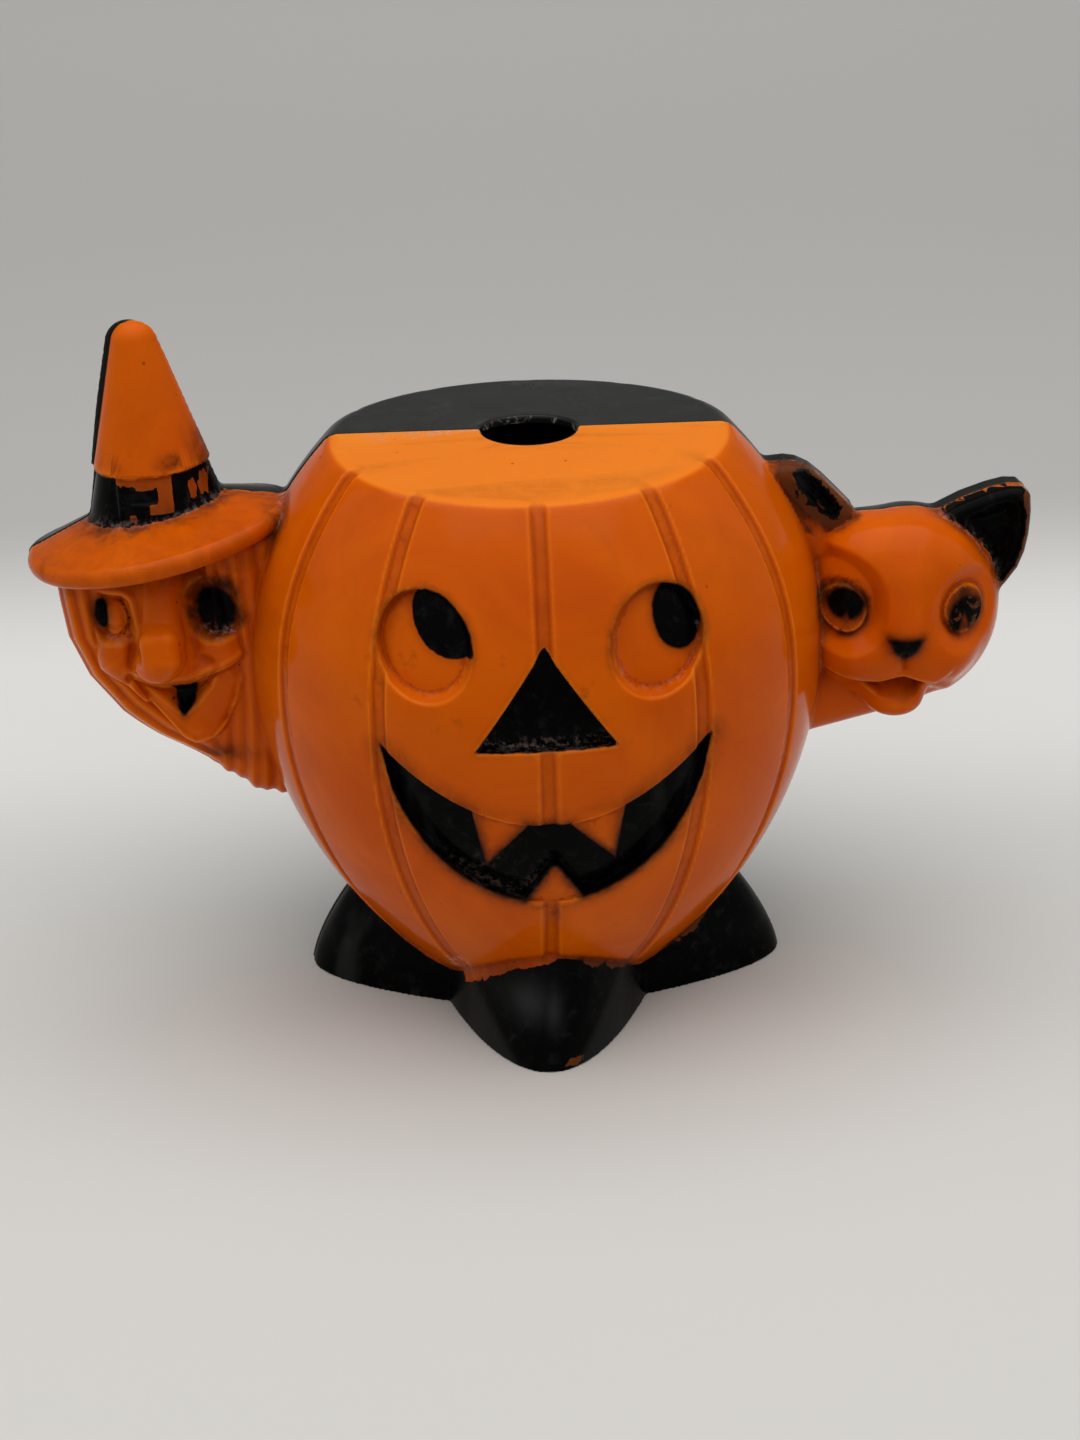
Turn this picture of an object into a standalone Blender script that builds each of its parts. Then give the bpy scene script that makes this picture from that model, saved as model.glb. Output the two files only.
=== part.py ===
"""Halloween candy container: a pumpkin on four feet, with a witch's head and a cat's head at its sides.

Two hollow half shells are cemented along the upright seam plane, and a disc closes the filling hole below.
+X runs from the witch to the cat, -Y is the front with the faces, and the feet stand on z = 0.
"""

import math

import bmesh
import bpy
from mathutils import Matrix, Vector

MM = 0.001
NAME = "halloween_candy_container"

# Walls and fits
WALL = 1.4 * MM
SEAM_GAP = 0.3 * MM
SEAT_GAP = 0.3 * MM
MERGE = 0.00001
SLOPE_STEP = 0.2 * MM

# Pumpkin: flat top, round belly and narrow waist
TOP_R = 30.0 * MM
TOP_Z = 89.8 * MM
TOP_DRAFT = math.radians(3.0)
RIM_ROUND = 1.0 * MM
BELLY_R = 44.4 * MM
BELLY_Z = 56.0 * MM
SHOULDER_POWER = 2.3
WAIST_R = 19.5 * MM
WAIST_Z = 4.5 * MM
BOWL_POWER = 0.88
TOP_HOLE_R = 7.3 * MM
BODY_STEPS = 60
CORE_STEPS = 40
WALL_ROWS = 16

# Ways from the pumpkin's inside into both heads
THROAT_R = 7.0 * MM

# Grooves between the pumpkin's lobes
GROOVE_R = 1.3 * MM
GROOVE_DEPTH = 0.75 * MM
GROOVE_SPACING = math.radians(30.0)
GROOVES_ASIDE = 2
GROOVE_LOW_Z = 9.0 * MM

# Four feet round the waist, like petals with round tips
FOOT_TIP_R = 38.2 * MM
FOOT_BLUNTNESS = 10.9 * MM
FOOT_HEIGHT = 24.0 * MM
FOOT_POWER = 1.4
FOOT_ROWS = 8
FOOT_STEPS = 64
FOOT_TURN_STEP = 0.01
FLOOR_SPARE = 1.5 * MM

# Bottom plate with the filling hole, and the disc glued under it
PLATE_Z = 3.0 * MM
PLATE_T = 1.4 * MM
FILL_HOLE_R = 15.0 * MM
DISC_R = 17.0 * MM
DISC_T = 1.2 * MM
COLLAR_T = 1.3 * MM

# Locating pegs on the rear shell and their sockets in the front shell
BOSS_R = 2.6 * MM
BOSS_LENGTH = 7.0 * MM
PEG_R = 1.1 * MM
PEG_LENGTH = 3.0 * MM
PEG_CLEARANCE = 0.3 * MM
BOSS_HEIGHTS = (80.0 * MM, 24.0 * MM)

# Face of the jack-o'-lantern, seen from the front
FACE_X = 0.8 * MM
FACE_DEPTH = 2.2 * MM
EYE_X = 16.8 * MM
EYE_Z = 69.9 * MM
EYE_HALF_WIDTH = 6.9 * MM
EYE_HALF_HEIGHT = 7.65 * MM
NOSE_HALF_WIDTH = 10.1 * MM
NOSE_TOP_Z = 70.7 * MM
NOSE_LOW_Z = 55.8 * MM
MOUTH_HALF_WIDTH = 23.7 * MM
MOUTH_CORNER_Z = 55.0 * MM
LIP_TOP_Z = 43.8 * MM
LIP_LOW_Z = 29.2 * MM
FANG_INNER = 2.9 * MM
FANG_OUTER = 11.4 * MM
FANG_TIP_X = 9.4 * MM
FANG_TIP_Z = 35.8 * MM
TOOTH_HALF_WIDTH = 5.2 * MM
TOOTH_TIP_Z = 38.1 * MM

# Witch, at the pumpkin's left: distances from the pumpkin's side and heights above the floor
WITCH_REACH = 12.2 * MM
WITCH_X = -BELLY_R - WITCH_REACH
BRIM_R = 21.2 * MM
BRIM_REAR_SHARE = 0.58
BRIM_Z = 75.8 * MM
BRIM_HALF_T = 1.6 * MM
BRIM_RISE = 3.6 * MM
BRIM_TILT = math.radians(-10.4)
HAT_R = 11.0 * MM
HAT_H = 29.0 * MM
HAT_TIP_R = 3.5 * MM
HAT_TILT = math.radians(-3.1)
BAND_H = 7.4 * MM
BAND_STEP = 0.5 * MM
WITCH_HEAD_Z = 60.5 * MM
WITCH_HEAD = (12.2 * MM, 14.0 * MM, 17.0 * MM)
WITCH_TILT = math.radians(-12.0)
HAIR_HALF_DEPTH = 8.0 * MM
HAIR_ROUND = 2.5 * MM
HAIR_OUTLINE = [
    (-16.1, 67.0),
    (-15.2, 58.0),
    (-11.9, 51.5),
    (-4.4, 43.8),
    (2.6, 39.2),
    (9.1, 33.8),
    (15.6, 31.2),
    (21.0, 32.5),
    (21.0, 70.0),
    (8.0, 76.0),
    (-12.0, 73.0),
]

# Witch's face, in millimetres from the witch's axis: middle and half widths of each rounded form
WITCH_NOSE_ROOT = (0.2, -10.0, 67.0)
WITCH_NOSE_TIP = (1.6, -23.5, 64.8)
WITCH_NOSE_ROOT_R = 4.6 * MM
WITCH_NOSE_TIP_R = 2.4 * MM
WITCH_CHEEKS = [((-5.4, -10.0, 58.5), (5.0, 4.6, 4.6)), ((7.6, -10.0, 59.5), (5.0, 5.0, 4.6))]
WITCH_CHIN = [((4.2, -9.0, 47.5), (4.8, 5.0, 4.6))]
WITCH_SOCKETS = [((-6.4, -14.5, 67.4), (3.2, 3.4, 3.8)), ((9.0, -13.0, 67.2), (4.0, 3.4, 4.2))]
WITCH_MOUTH = [((3.3, -16.0, 54.5), (4.6, 3.2, 2.6))]

# Cat, at the pumpkin's right
CAT_REACH = 13.4 * MM
CAT_X = BELLY_R + CAT_REACH
CAT_Z = 59.0 * MM
CAT_HEAD = (14.4 * MM, 15.5 * MM, 16.0 * MM)
CAT_TILT = math.radians(5.0)
EAR_HALF_DEPTH = 4.5 * MM
EAR_HOLLOW = 2.5 * MM
EAR_ROUND = 1.0 * MM
NECK_HALF_DEPTH = 7.5 * MM
NECK_ROUND = 2.0 * MM
NECK_OUTLINE = [
    (-21.0, 37.0),
    (-13.4, 37.6),
    (-3.6, 40.6),
    (3.0, 43.0),
    (6.0, 50.0),
    (-6.0, 62.0),
    (-21.0, 66.0),
]
LEFT_EAR = [
    (-25.0, 84.0),
    (-20.6, 83.6),
    (-17.0, 82.8),
    (-12.5, 79.5),
    (-8.4, 75.3),
    (-7.0, 69.0),
    (-16.0, 68.0),
    (-25.0, 76.0),
]
RIGHT_EAR = [
    (2.0, 72.5),
    (8.0, 76.0),
    (13.0, 77.9),
    (17.0, 78.3),
    (18.4, 76.6),
    (18.4, 69.0),
    (16.2, 64.0),
    (12.0, 59.0),
    (6.0, 62.0),
]
EAR_HOLLOW_OUTLINES = [
    [(-17.5, 80.6), (-14.5, 79.0), (-10.6, 75.0), (-13.0, 73.2)],
    [(7.0, 73.0), (12.0, 75.6), (16.6, 76.2), (16.6, 69.5), (13.5, 64.8)],
]

# Cat's face, in millimetres from the cat's middle: middle and half widths of each rounded form
CAT_MUZZLE = [((-2.6, -11.5, 55.6), (8.5, 6.5, 5.0))]
CAT_LIP = [((-3.2, -11.0, 48.2), (5.0, 5.6, 3.2))]
CAT_EYES = [((-10.6, -10.8, 63.9), (3.6, 2.6, 4.5)), ((7.4, -12.0, 62.6), (3.2, 2.4, 4.2))]
CAT_NOSE = [((-2.2, -16.4, 58.8), (2.4, 2.6, 1.8))]

ORANGE = (0.62, 0.17, 0.01, 1.0)
BLACK = (0.012, 0.012, 0.012, 1.0)
BOARD = (0.36, 0.26, 0.15, 1.0)


def add_object(name, mesh):
    """A new object in the scene that holds the mesh."""
    made = bpy.data.objects.new(name, mesh)
    bpy.context.scene.collection.objects.link(made)
    return made


def bake(source, weld=False):
    """Replaces an object by a plain mesh of what it shows, in world space. Weld closes a curve's caps."""
    bpy.context.view_layer.update()
    shown = source.evaluated_get(bpy.context.evaluated_depsgraph_get())
    mesh = bpy.data.meshes.new_from_object(shown)
    mesh.transform(source.matrix_world)
    name = source.name
    bpy.data.objects.remove(source)
    if weld:
        work = bmesh.new()
        work.from_mesh(mesh)
        bmesh.ops.remove_doubles(work, verts=work.verts, dist=MERGE)
        work.to_mesh(mesh)
        work.free()
    return add_object(name, mesh)


def boolean(target, operation, tools):
    """Joins or cuts the target with each tool in turn, and removes the tools."""
    for tool in tools:
        modifier = target.modifiers.new("boolean", "BOOLEAN")
        modifier.operation = operation
        modifier.solver = "EXACT"
        modifier.object = tool
    made = bake(target)
    for tool in tools:
        bpy.data.objects.remove(tool)
    return made


def copy_of(source, name):
    """An object of its own with a copy of the source's mesh."""
    return add_object(name, source.data.copy())


def turned(name, profile, steps):
    """A solid turned about Z. The profile of (radius, height) runs down its outer side, from axis to axis."""
    mesh = bpy.data.meshes.new(name)
    points = [(radius, 0.0, height) for radius, height in profile]
    mesh.from_pydata(points, [(i, i + 1) for i in range(len(points) - 1)], [])
    made = add_object(name, mesh)
    screw = made.modifiers.new("turn", "SCREW")
    screw.steps = steps
    screw.render_steps = steps
    screw.use_merge_vertices = True
    screw.merge_threshold = MERGE
    return bake(made)


def place(made, centre, tilt=0.0):
    """Leans an object about Y, then moves it to its centre."""
    made.data.transform(Matrix.Translation(centre) @ Matrix.Rotation(tilt, 4, "Y"))
    return made


def ball(name, centre, radii, tilt=0.0, segments=20, rings=12):
    """An ellipsoid, leant about Y."""
    work = bmesh.new()
    bmesh.ops.create_uvsphere(work, u_segments=segments, v_segments=rings, radius=1.0)
    bmesh.ops.transform(work, matrix=Matrix.Diagonal((*radii, 1.0)), verts=work.verts)
    mesh = bpy.data.meshes.new(name)
    work.to_mesh(mesh)
    work.free()
    return place(add_object(name, mesh), centre, tilt)


def rod(name, start, end, radius, end_radius=None, segments=24):
    """A cylinder or cone between two points."""
    run = Vector(end) - Vector(start)
    work = bmesh.new()
    bmesh.ops.create_cone(
        work,
        cap_ends=True,
        segments=segments,
        radius1=radius,
        radius2=radius if end_radius is None else end_radius,
        depth=run.length,
    )
    turn = run.to_track_quat("Z", "Y").to_matrix().to_4x4()
    middle = (Vector(start) + Vector(end)) / 2
    bmesh.ops.transform(work, matrix=Matrix.Translation(middle) @ turn, verts=work.verts)
    mesh = bpy.data.meshes.new(name)
    work.to_mesh(mesh)
    work.free()
    return add_object(name, mesh)


def block(name, low, high):
    """A box between two corners."""
    size = Vector(high) - Vector(low)
    middle = (Vector(high) + Vector(low)) / 2
    work = bmesh.new()
    bmesh.ops.create_cube(work, size=1.0)
    fitted = Matrix.Translation(middle) @ Matrix.Diagonal((*size, 1.0))
    bmesh.ops.transform(work, matrix=fitted, verts=work.verts)
    mesh = bpy.data.meshes.new(name)
    work.to_mesh(mesh)
    work.free()
    return add_object(name, mesh)


def slab(name, outline, y_front, y_back, rounding=0.0):
    """A flat outline of (x, z) points, extruded from y_front to y_back with rounded edges."""
    curve = bpy.data.curves.new(name, "CURVE")
    curve.dimensions = "2D"
    curve.fill_mode = "BOTH"
    curve.extrude = (y_back - y_front) / 2 - rounding
    curve.bevel_depth = rounding
    curve.bevel_resolution = 1
    curve.offset = -rounding
    spline = curve.splines.new("POLY")
    spline.points.add(len(outline) - 1)
    for point, (x, z) in zip(spline.points, outline):
        point.co = (x, z, 0.0, 1.0)
    spline.use_cyclic_u = True
    made = add_object(name, curve)
    middle = Vector((0.0, (y_front + y_back) / 2, 0.0))
    made.matrix_world = Matrix.Translation(middle) @ Matrix.Rotation(math.pi / 2, 4, "X")
    return bake(made, weld=True)


def belly_radius(z):
    """The pumpkin's radius at a height, from the waist to the top."""
    if z >= BELLY_Z:
        share = min(1.0, (z - BELLY_Z) / (TOP_Z - BELLY_Z))
        return TOP_R + (BELLY_R - TOP_R) * (1 - share**SHOULDER_POWER)
    share = min(1.0, (BELLY_Z - z) / (BELLY_Z - WAIST_Z))
    return WAIST_R + (BELLY_R - WAIST_R) * (1 - share * share) ** BOWL_POWER


def wall_line(inset, rows):
    """Points of the pumpkin's wall from top to waist, moved inwards by the inset."""
    points = []
    for i in range(rows + 1):
        turn = math.pi * i / rows
        z = (TOP_Z + WAIST_Z) / 2 + (TOP_Z - WAIST_Z) / 2 * math.cos(turn)
        slope = (belly_radius(z + SLOPE_STEP) - belly_radius(z - SLOPE_STEP)) / (2 * SLOPE_STEP)
        length = math.hypot(1.0, slope)
        points.append((belly_radius(z) - inset / length, z + inset * slope / length))
    return points


def gable(made, ridge_z):
    """Lowers a flat top to both sides of the seam by the draft of the top plate."""
    for vertex in made.data.vertices:
        share = max(0.0, min(1.0, (vertex.co.z - BELLY_Z) / (ridge_z - BELLY_Z)))
        vertex.co.z -= abs(vertex.co.y) * math.tan(TOP_DRAFT) * share**2
    return made


def pumpkin(name, inset, steps):
    """The pumpkin as a solid, or its inside when it is inset."""
    roof = TOP_Z - inset
    wall = [p for p in wall_line(inset, WALL_ROWS) if p[1] < roof - RIM_ROUND]
    rim_r = TOP_R - inset
    profile = [(0.0, roof), (rim_r - RIM_ROUND, roof), (rim_r, roof - 0.4 * RIM_ROUND)]
    profile += wall
    profile.append((0.0, wall[-1][1]))
    return gable(turned(name, profile, steps), roof)


def groove_cutter(name, azimuth):
    """A round bar along the wall at an azimuth from the front, which cuts one groove."""
    curve = bpy.data.curves.new(name, "CURVE")
    curve.dimensions = "3D"
    curve.bevel_depth = GROOVE_R
    curve.bevel_resolution = 2
    curve.use_fill_caps = True
    line = [p for p in wall_line(GROOVE_DEPTH - GROOVE_R, WALL_ROWS) if p[1] > GROOVE_LOW_Z]
    spline = curve.splines.new("POLY")
    spline.points.add(len(line) - 1)
    for point, (radius, z) in zip(spline.points, line):
        point.co = (radius * math.sin(azimuth), -radius * math.cos(azimuth), z, 1.0)
    return bake(add_object(name, curve), weld=True)


def foot_reach(azimuth):
    """How far the feet reach from the axis at the floor: four parabolas with their tips outwards."""
    quarter = math.pi / 2
    turn = (azimuth + quarter / 2) % quarter - quarter / 2
    across = math.sin(turn) ** 2
    if across < MERGE:
        return FOOT_TIP_R
    along = FOOT_BLUNTNESS * math.cos(turn)
    return (math.sqrt(along * along + 4 * FOOT_BLUNTNESS * FOOT_TIP_R * across) - along) / (2 * across)


def feet(inset):
    """The four feet as one solid, which rises into the pumpkin and reaches below the floor."""
    height = FOOT_HEIGHT - inset
    neck_r = WAIST_R - inset
    shares = [math.cos(math.pi / 2 * i / FOOT_ROWS) for i in range(FOOT_ROWS)]
    profile = [(0.0, height)] + [(neck_r, height * share) for share in shares]
    profile += [(neck_r, -FLOOR_SPARE / 5), (neck_r, -FLOOR_SPARE), (0.0, -FLOOR_SPARE)]
    made = turned("feet", profile, FOOT_STEPS)
    for vertex in made.data.vertices:
        radius = math.hypot(vertex.co.x, vertex.co.y)
        if radius < neck_r / 2:
            continue
        azimuth = math.atan2(vertex.co.y, vertex.co.x)
        beyond = foot_reach(azimuth + FOOT_TURN_STEP)
        slope = (beyond - foot_reach(azimuth - FOOT_TURN_STEP)) / (2 * FOOT_TURN_STEP)
        reach = foot_reach(azimuth) - inset * math.hypot(1.0, slope / foot_reach(azimuth))
        share = max(0.0, vertex.co.z) / height
        swell = max(0.0, 1 - share**FOOT_POWER) ** (1 / FOOT_POWER)
        grown = neck_r + max(0.0, reach - neck_r) * swell
        vertex.co.x *= grown / radius
        vertex.co.y *= grown / radius
    return made


def hat(inset):
    """The hat's cone, with its lip standing proud of the band."""
    slope = (HAT_R - HAT_TIP_R) / (HAT_H - HAT_TIP_R)
    profile = []
    for i in range(5):
        turn = math.radians(18 * i)
        tip_r = HAT_TIP_R - inset
        profile.append((tip_r * math.sin(turn), HAT_H - HAT_TIP_R + tip_r * math.cos(turn)))
    lip_r = HAT_R - slope * BAND_H - inset
    profile.append((lip_r, BAND_H))
    if inset == 0:
        profile.append((lip_r - BAND_STEP, BAND_H - 0.4 * MM))
    profile.append((HAT_R - inset, -2 * BRIM_HALF_T))
    profile.append((0.0, -2 * BRIM_HALF_T))
    made = turned("hat", profile, 28)
    return place(made, (WITCH_X, 0.0, BRIM_Z + BRIM_RISE), HAT_TILT)


def brim():
    """The hat's brim, which leans, rises to the cone and is shallower behind."""
    edge = BRIM_HALF_T
    profile = [
        (0.0, BRIM_RISE + edge / 2),
        (HAT_R, BRIM_RISE),
        ((HAT_R + BRIM_R) / 2, BRIM_RISE / 2 + edge),
        (BRIM_R - edge, edge),
        (BRIM_R - 0.3 * edge, 0.7 * edge),
        (BRIM_R, 0.0),
        (BRIM_R - 0.3 * edge, -0.7 * edge),
        (BRIM_R - edge, -edge),
        (0.0, -edge),
    ]
    made = turned("brim", profile, 36)
    for vertex in made.data.vertices:
        if vertex.co.y > 0:
            vertex.co.y *= BRIM_REAR_SHARE
    return place(made, (WITCH_X, 0.0, BRIM_Z), BRIM_TILT)


def from_axis(axis_x, outline):
    """An outline given in millimetres from an upright axis, in metres."""
    return [(axis_x + x * MM, z * MM) for x, z in outline]


def hair():
    """The hair behind the witch's face, down to where it meets the pumpkin."""
    return slab("hair", from_axis(WITCH_X, HAIR_OUTLINE), -HAIR_HALF_DEPTH, HAIR_HALF_DEPTH, HAIR_ROUND)


def rounded_forms(axis_x, forms):
    """Ellipsoids from their middles and half widths, in millimetres from an upright axis."""
    made = []
    for (x, y, z), radii in forms:
        made.append(ball("form", (axis_x + x * MM, y * MM, z * MM), [r * MM for r in radii], 0.0, 12, 8))
    return made


def grown(radii, amount):
    """Radii with an amount added to each."""
    return tuple(radius + amount for radius in radii)


def witch_head(inset):
    """The witch's skull."""
    return ball("witch_head", (WITCH_X, -1.0 * MM, WITCH_HEAD_Z), grown(WITCH_HEAD, -inset), WITCH_TILT)


def witch_features():
    """What stands out of the witch's face: nose, cheeks and chin."""
    root, tip = [Vector((WITCH_X, 0.0, 0.0)) + Vector(end) * MM for end in (WITCH_NOSE_ROOT, WITCH_NOSE_TIP)]
    nose = rod("witch_nose", root, tip, WITCH_NOSE_ROOT_R, WITCH_NOSE_TIP_R, 10)
    return [nose, *rounded_forms(WITCH_X, WITCH_CHEEKS + WITCH_CHIN)]


def witch_hollows():
    """What is sunk into the witch's face: eye sockets and mouth."""
    return rounded_forms(WITCH_X, WITCH_SOCKETS + WITCH_MOUTH)


def cat_head(inset):
    """The cat's skull."""
    return ball("cat_head", (CAT_X, 0.0, CAT_Z), grown(CAT_HEAD, -inset), CAT_TILT, 24, 14)


def cat_features():
    """What stands out of the cat's face: muzzle, lip, eyes and nose."""
    return rounded_forms(CAT_X, CAT_MUZZLE + CAT_LIP + CAT_EYES + CAT_NOSE)


def cat_neck():
    """The stretch that joins the cat's jaw to the pumpkin."""
    return slab("cat_neck", from_axis(CAT_X, NECK_OUTLINE), -NECK_HALF_DEPTH, NECK_HALF_DEPTH, NECK_ROUND)


def ears():
    """Both ears as thick leaves, the left one grown into the pumpkin."""
    made = []
    for i, outline in enumerate((LEFT_EAR, RIGHT_EAR)):
        made.append(slab(f"ear_{i}", from_axis(CAT_X, outline), -EAR_HALF_DEPTH, EAR_HALF_DEPTH, EAR_ROUND))
    return made


def ear_hollows():
    """The cupped fronts of both ears."""
    made = []
    for i, outline in enumerate(EAR_HOLLOW_OUTLINES):
        floor_y = EAR_HOLLOW - EAR_HALF_DEPTH
        made.append(slab(f"ear_hollow_{i}", from_axis(CAT_X, outline), -2 * EAR_HALF_DEPTH, floor_y))
    return made


def eye_outline(side, grow):
    """One of the jack-o'-lantern's eyes."""
    points = []
    for i in range(20):
        turn = 2 * math.pi * i / 20
        x = FACE_X + side * EYE_X + (EYE_HALF_WIDTH + grow) * math.cos(turn)
        points.append((x, EYE_Z + (EYE_HALF_HEIGHT + grow) * math.sin(turn)))
    return points


def nose_outline(grow):
    """The jack-o'-lantern's nose, a triangle."""
    half = NOSE_HALF_WIDTH + 1.6 * grow
    low_z = NOSE_LOW_Z - grow
    return [(FACE_X - half, low_z), (FACE_X + half, low_z), (FACE_X, NOSE_TOP_Z + 1.6 * grow)]


def upper_lip(x):
    """Height of the mouth's upper edge at a distance from its middle."""
    return LIP_TOP_Z + (MOUTH_CORNER_Z - LIP_TOP_Z) * (x / MOUTH_HALF_WIDTH) ** 2


def lower_lip(x):
    """Height of the mouth's lower edge at a distance from its middle."""
    share = min(1.0, abs(x) / MOUTH_HALF_WIDTH)
    return MOUTH_CORNER_Z - (MOUTH_CORNER_Z - LIP_LOW_Z) * (1 - share**1.9) ** 0.6


def mouth_outline():
    """The grin with two fangs above and one tooth below."""
    upper = [-MOUTH_HALF_WIDTH * s for s in (1.0, 0.88, 0.74, 0.6)]
    half = [(x, upper_lip(x)) for x in upper]
    half.append((-FANG_OUTER, upper_lip(FANG_OUTER)))
    half.append((-FANG_TIP_X, FANG_TIP_Z))
    half.append((-FANG_INNER, upper_lip(FANG_INNER)))
    low = [-TOOTH_HALF_WIDTH, *[-MOUTH_HALF_WIDTH * s for s in (0.38, 0.54, 0.7, 0.84, 0.95)]]
    under = [(0.0, TOOTH_TIP_Z)] + [(x, lower_lip(x)) for x in low]
    right_top = [(-x, z) for x, z in reversed(half)]
    right_low = [(-x, z) for x, z in reversed(under[1:])]
    outline = half + right_top + right_low + under
    return [(FACE_X + x, z) for x, z in outline]


def mouth_pad_outline(grow):
    """The plain crescent round the whole grin."""
    shares = [-1.0, -0.8, -0.5, -0.2, 0.2, 0.5, 0.8, 1.0]
    top = [(s * (MOUTH_HALF_WIDTH + grow), upper_lip(s * MOUTH_HALF_WIDTH) + grow) for s in shares]
    low = [(s * (MOUTH_HALF_WIDTH + grow), lower_lip(s * MOUTH_HALF_WIDTH) - grow) for s in reversed(shares)]
    return [(FACE_X + x, z) for x, z in top + low]


def face_tools(name, depth, outlines):
    """Prisms from the front down to a depth under the pumpkin's skin."""
    tools = []
    for i, outline in enumerate(outlines):
        prism = slab(f"{name}_{i}", outline, -2 * BELLY_R, -BELLY_R / 2)
        tools.append(boolean(prism, "DIFFERENCE", [pumpkin("skin", depth, CORE_STEPS)]))
    return tools


def face_hollows():
    """The sunk eyes, nose and mouth of the jack-o'-lantern."""
    outlines = [eye_outline(-1, 0.0), eye_outline(1, 0.0), nose_outline(0.0), mouth_outline()]
    return face_tools("hollow", FACE_DEPTH, outlines)


def face_pads():
    """The wall that stays behind the sunk face, as parts to take off the cavity."""
    outlines = [eye_outline(-1, WALL), eye_outline(1, WALL), nose_outline(WALL), mouth_pad_outline(WALL)]
    return face_tools("pad", FACE_DEPTH + WALL, outlines)


def grooved_pumpkin():
    """The pumpkin's outer skin with its grooves."""
    cutters = []
    for side in (0.0, math.pi):
        for i in range(-GROOVES_ASIDE, GROOVES_ASIDE + 1):
            cutters.append(groove_cutter(f"groove_{side:.0f}_{i}", side + i * GROOVE_SPACING))
    return boolean(pumpkin("form", 0.0, BODY_STEPS), "DIFFERENCE", cutters)


def common_form():
    """The outside of the whole container, without what only the front has."""
    pieces = [feet(0.0), hair(), witch_head(0.0), brim(), hat(0.0)]
    pieces += [cat_head(0.0), cat_neck(), *ears()]
    return boolean(grooved_pumpkin(), "UNION", pieces)


def collar():
    """The low ring under the bottom plate that holds the disc."""
    seat_r = DISC_R + SEAT_GAP
    low = PLATE_Z - SEAT_GAP - DISC_T
    ring = rod("collar", (0, 0, low), (0, 0, PLATE_Z + PLATE_T / 2), seat_r + COLLAR_T, None, 32)
    seat = rod("seat", (0, 0, low - WALL), (0, 0, PLATE_Z + PLATE_T), seat_r, None, 32)
    return boolean(ring, "DIFFERENCE", [seat])


def cavity():
    """The space inside both shells, with the hollow under the feet and both holes."""
    plate = rod("plate", (0, 0, PLATE_Z), (0, 0, PLATE_Z + PLATE_T), 2 * FOOT_TIP_R)
    low = boolean(feet(WALL), "DIFFERENCE", [plate, collar()])
    fill_hole = rod("fill_hole", (0, 0, PLATE_Z - WALL), (0, 0, 3 * WAIST_Z), FILL_HOLE_R, None, 32)
    top_hole = rod("top_hole", (0, 0, TOP_Z - 3 * WALL), (0, 0, TOP_Z + WALL), TOP_HOLE_R, None, 32)
    throat = (1.7 * THROAT_R, THROAT_R, THROAT_R)
    witch_throat = ball("witch_throat", (-BELLY_R - WALL, 0, WITCH_HEAD_Z - WALL), throat, WITCH_TILT, 13, 8)
    cat_throat = ball("cat_throat", (BELLY_R + WALL, 0, CAT_Z - WALL), throat, CAT_TILT, 13, 8)
    inner = [pumpkin("core", WALL, CORE_STEPS), hat(WALL), witch_head(WALL), cat_head(WALL)]
    return boolean(low, "UNION", [*inner, witch_throat, cat_throat, fill_hole, top_hole])


def bosses(side):
    """Short posts on the wall at the seam, for the pegs. Side is -1 for the front."""
    made = []
    for i, z in enumerate(BOSS_HEIGHTS):
        for hand in (-1, 1):
            x = hand * (belly_radius(z) - WALL - 0.6 * BOSS_R)
            start = (x, -side * WALL, z)
            made.append(rod(f"boss_{i}_{hand}", start, (x, side * BOSS_LENGTH, z), BOSS_R, None, 12))
    return made


def pegs(radius, length):
    """Round pegs at the bosses, from inside the rear boss towards the front."""
    made = []
    for i, z in enumerate(BOSS_HEIGHTS):
        for hand in (-1, 1):
            x = hand * (belly_radius(z) - WALL - 0.6 * BOSS_R)
            made.append(rod(f"peg_{i}_{hand}", (x, BOSS_LENGTH / 2, z), (x, -length, z), radius, None, 12))
    return made


def half_block(side):
    """A block that takes away all beyond the seam, on the other side."""
    reach = 4 * BELLY_R
    ends = sorted((side * SEAM_GAP / 2, -side * reach))
    return block("beyond_seam", (-reach, ends[0], -reach), (reach, ends[1], reach))


def floor_block():
    """A block under the floor, which cuts the feet flat."""
    reach = 4 * BELLY_R
    return block("under_floor", (-reach, -reach, -reach), (reach, reach, 0.0))


def front_shell(form, inside):
    """The orange half with the three faces."""
    shell = boolean(copy_of(form, "front_shell"), "UNION", [*witch_features(), *cat_features()])
    shell = boolean(shell, "DIFFERENCE", [*witch_hollows(), *ear_hollows(), *face_hollows()])
    hollow = boolean(copy_of(inside, "front_hollow"), "DIFFERENCE", [*face_pads(), *bosses(-1)])
    sockets = pegs(PEG_R + PEG_CLEARANCE, PEG_LENGTH + PEG_CLEARANCE)
    return boolean(shell, "DIFFERENCE", [hollow, *sockets, half_block(-1)])


def rear_shell(form, inside):
    """The black half, plain behind, with the locating pegs."""
    hollow = boolean(copy_of(inside, "rear_hollow"), "DIFFERENCE", bosses(1))
    shell = boolean(copy_of(form, "rear_shell"), "DIFFERENCE", [hollow, half_block(1)])
    return boolean(shell, "UNION", pegs(PEG_R, PEG_LENGTH))


def base_disc():
    """The round board under the filling hole."""
    high = PLATE_Z - SEAT_GAP
    return rod("base_disc", (0, 0, high - DISC_T), (0, 0, high), DISC_R, None, 48)


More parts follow.
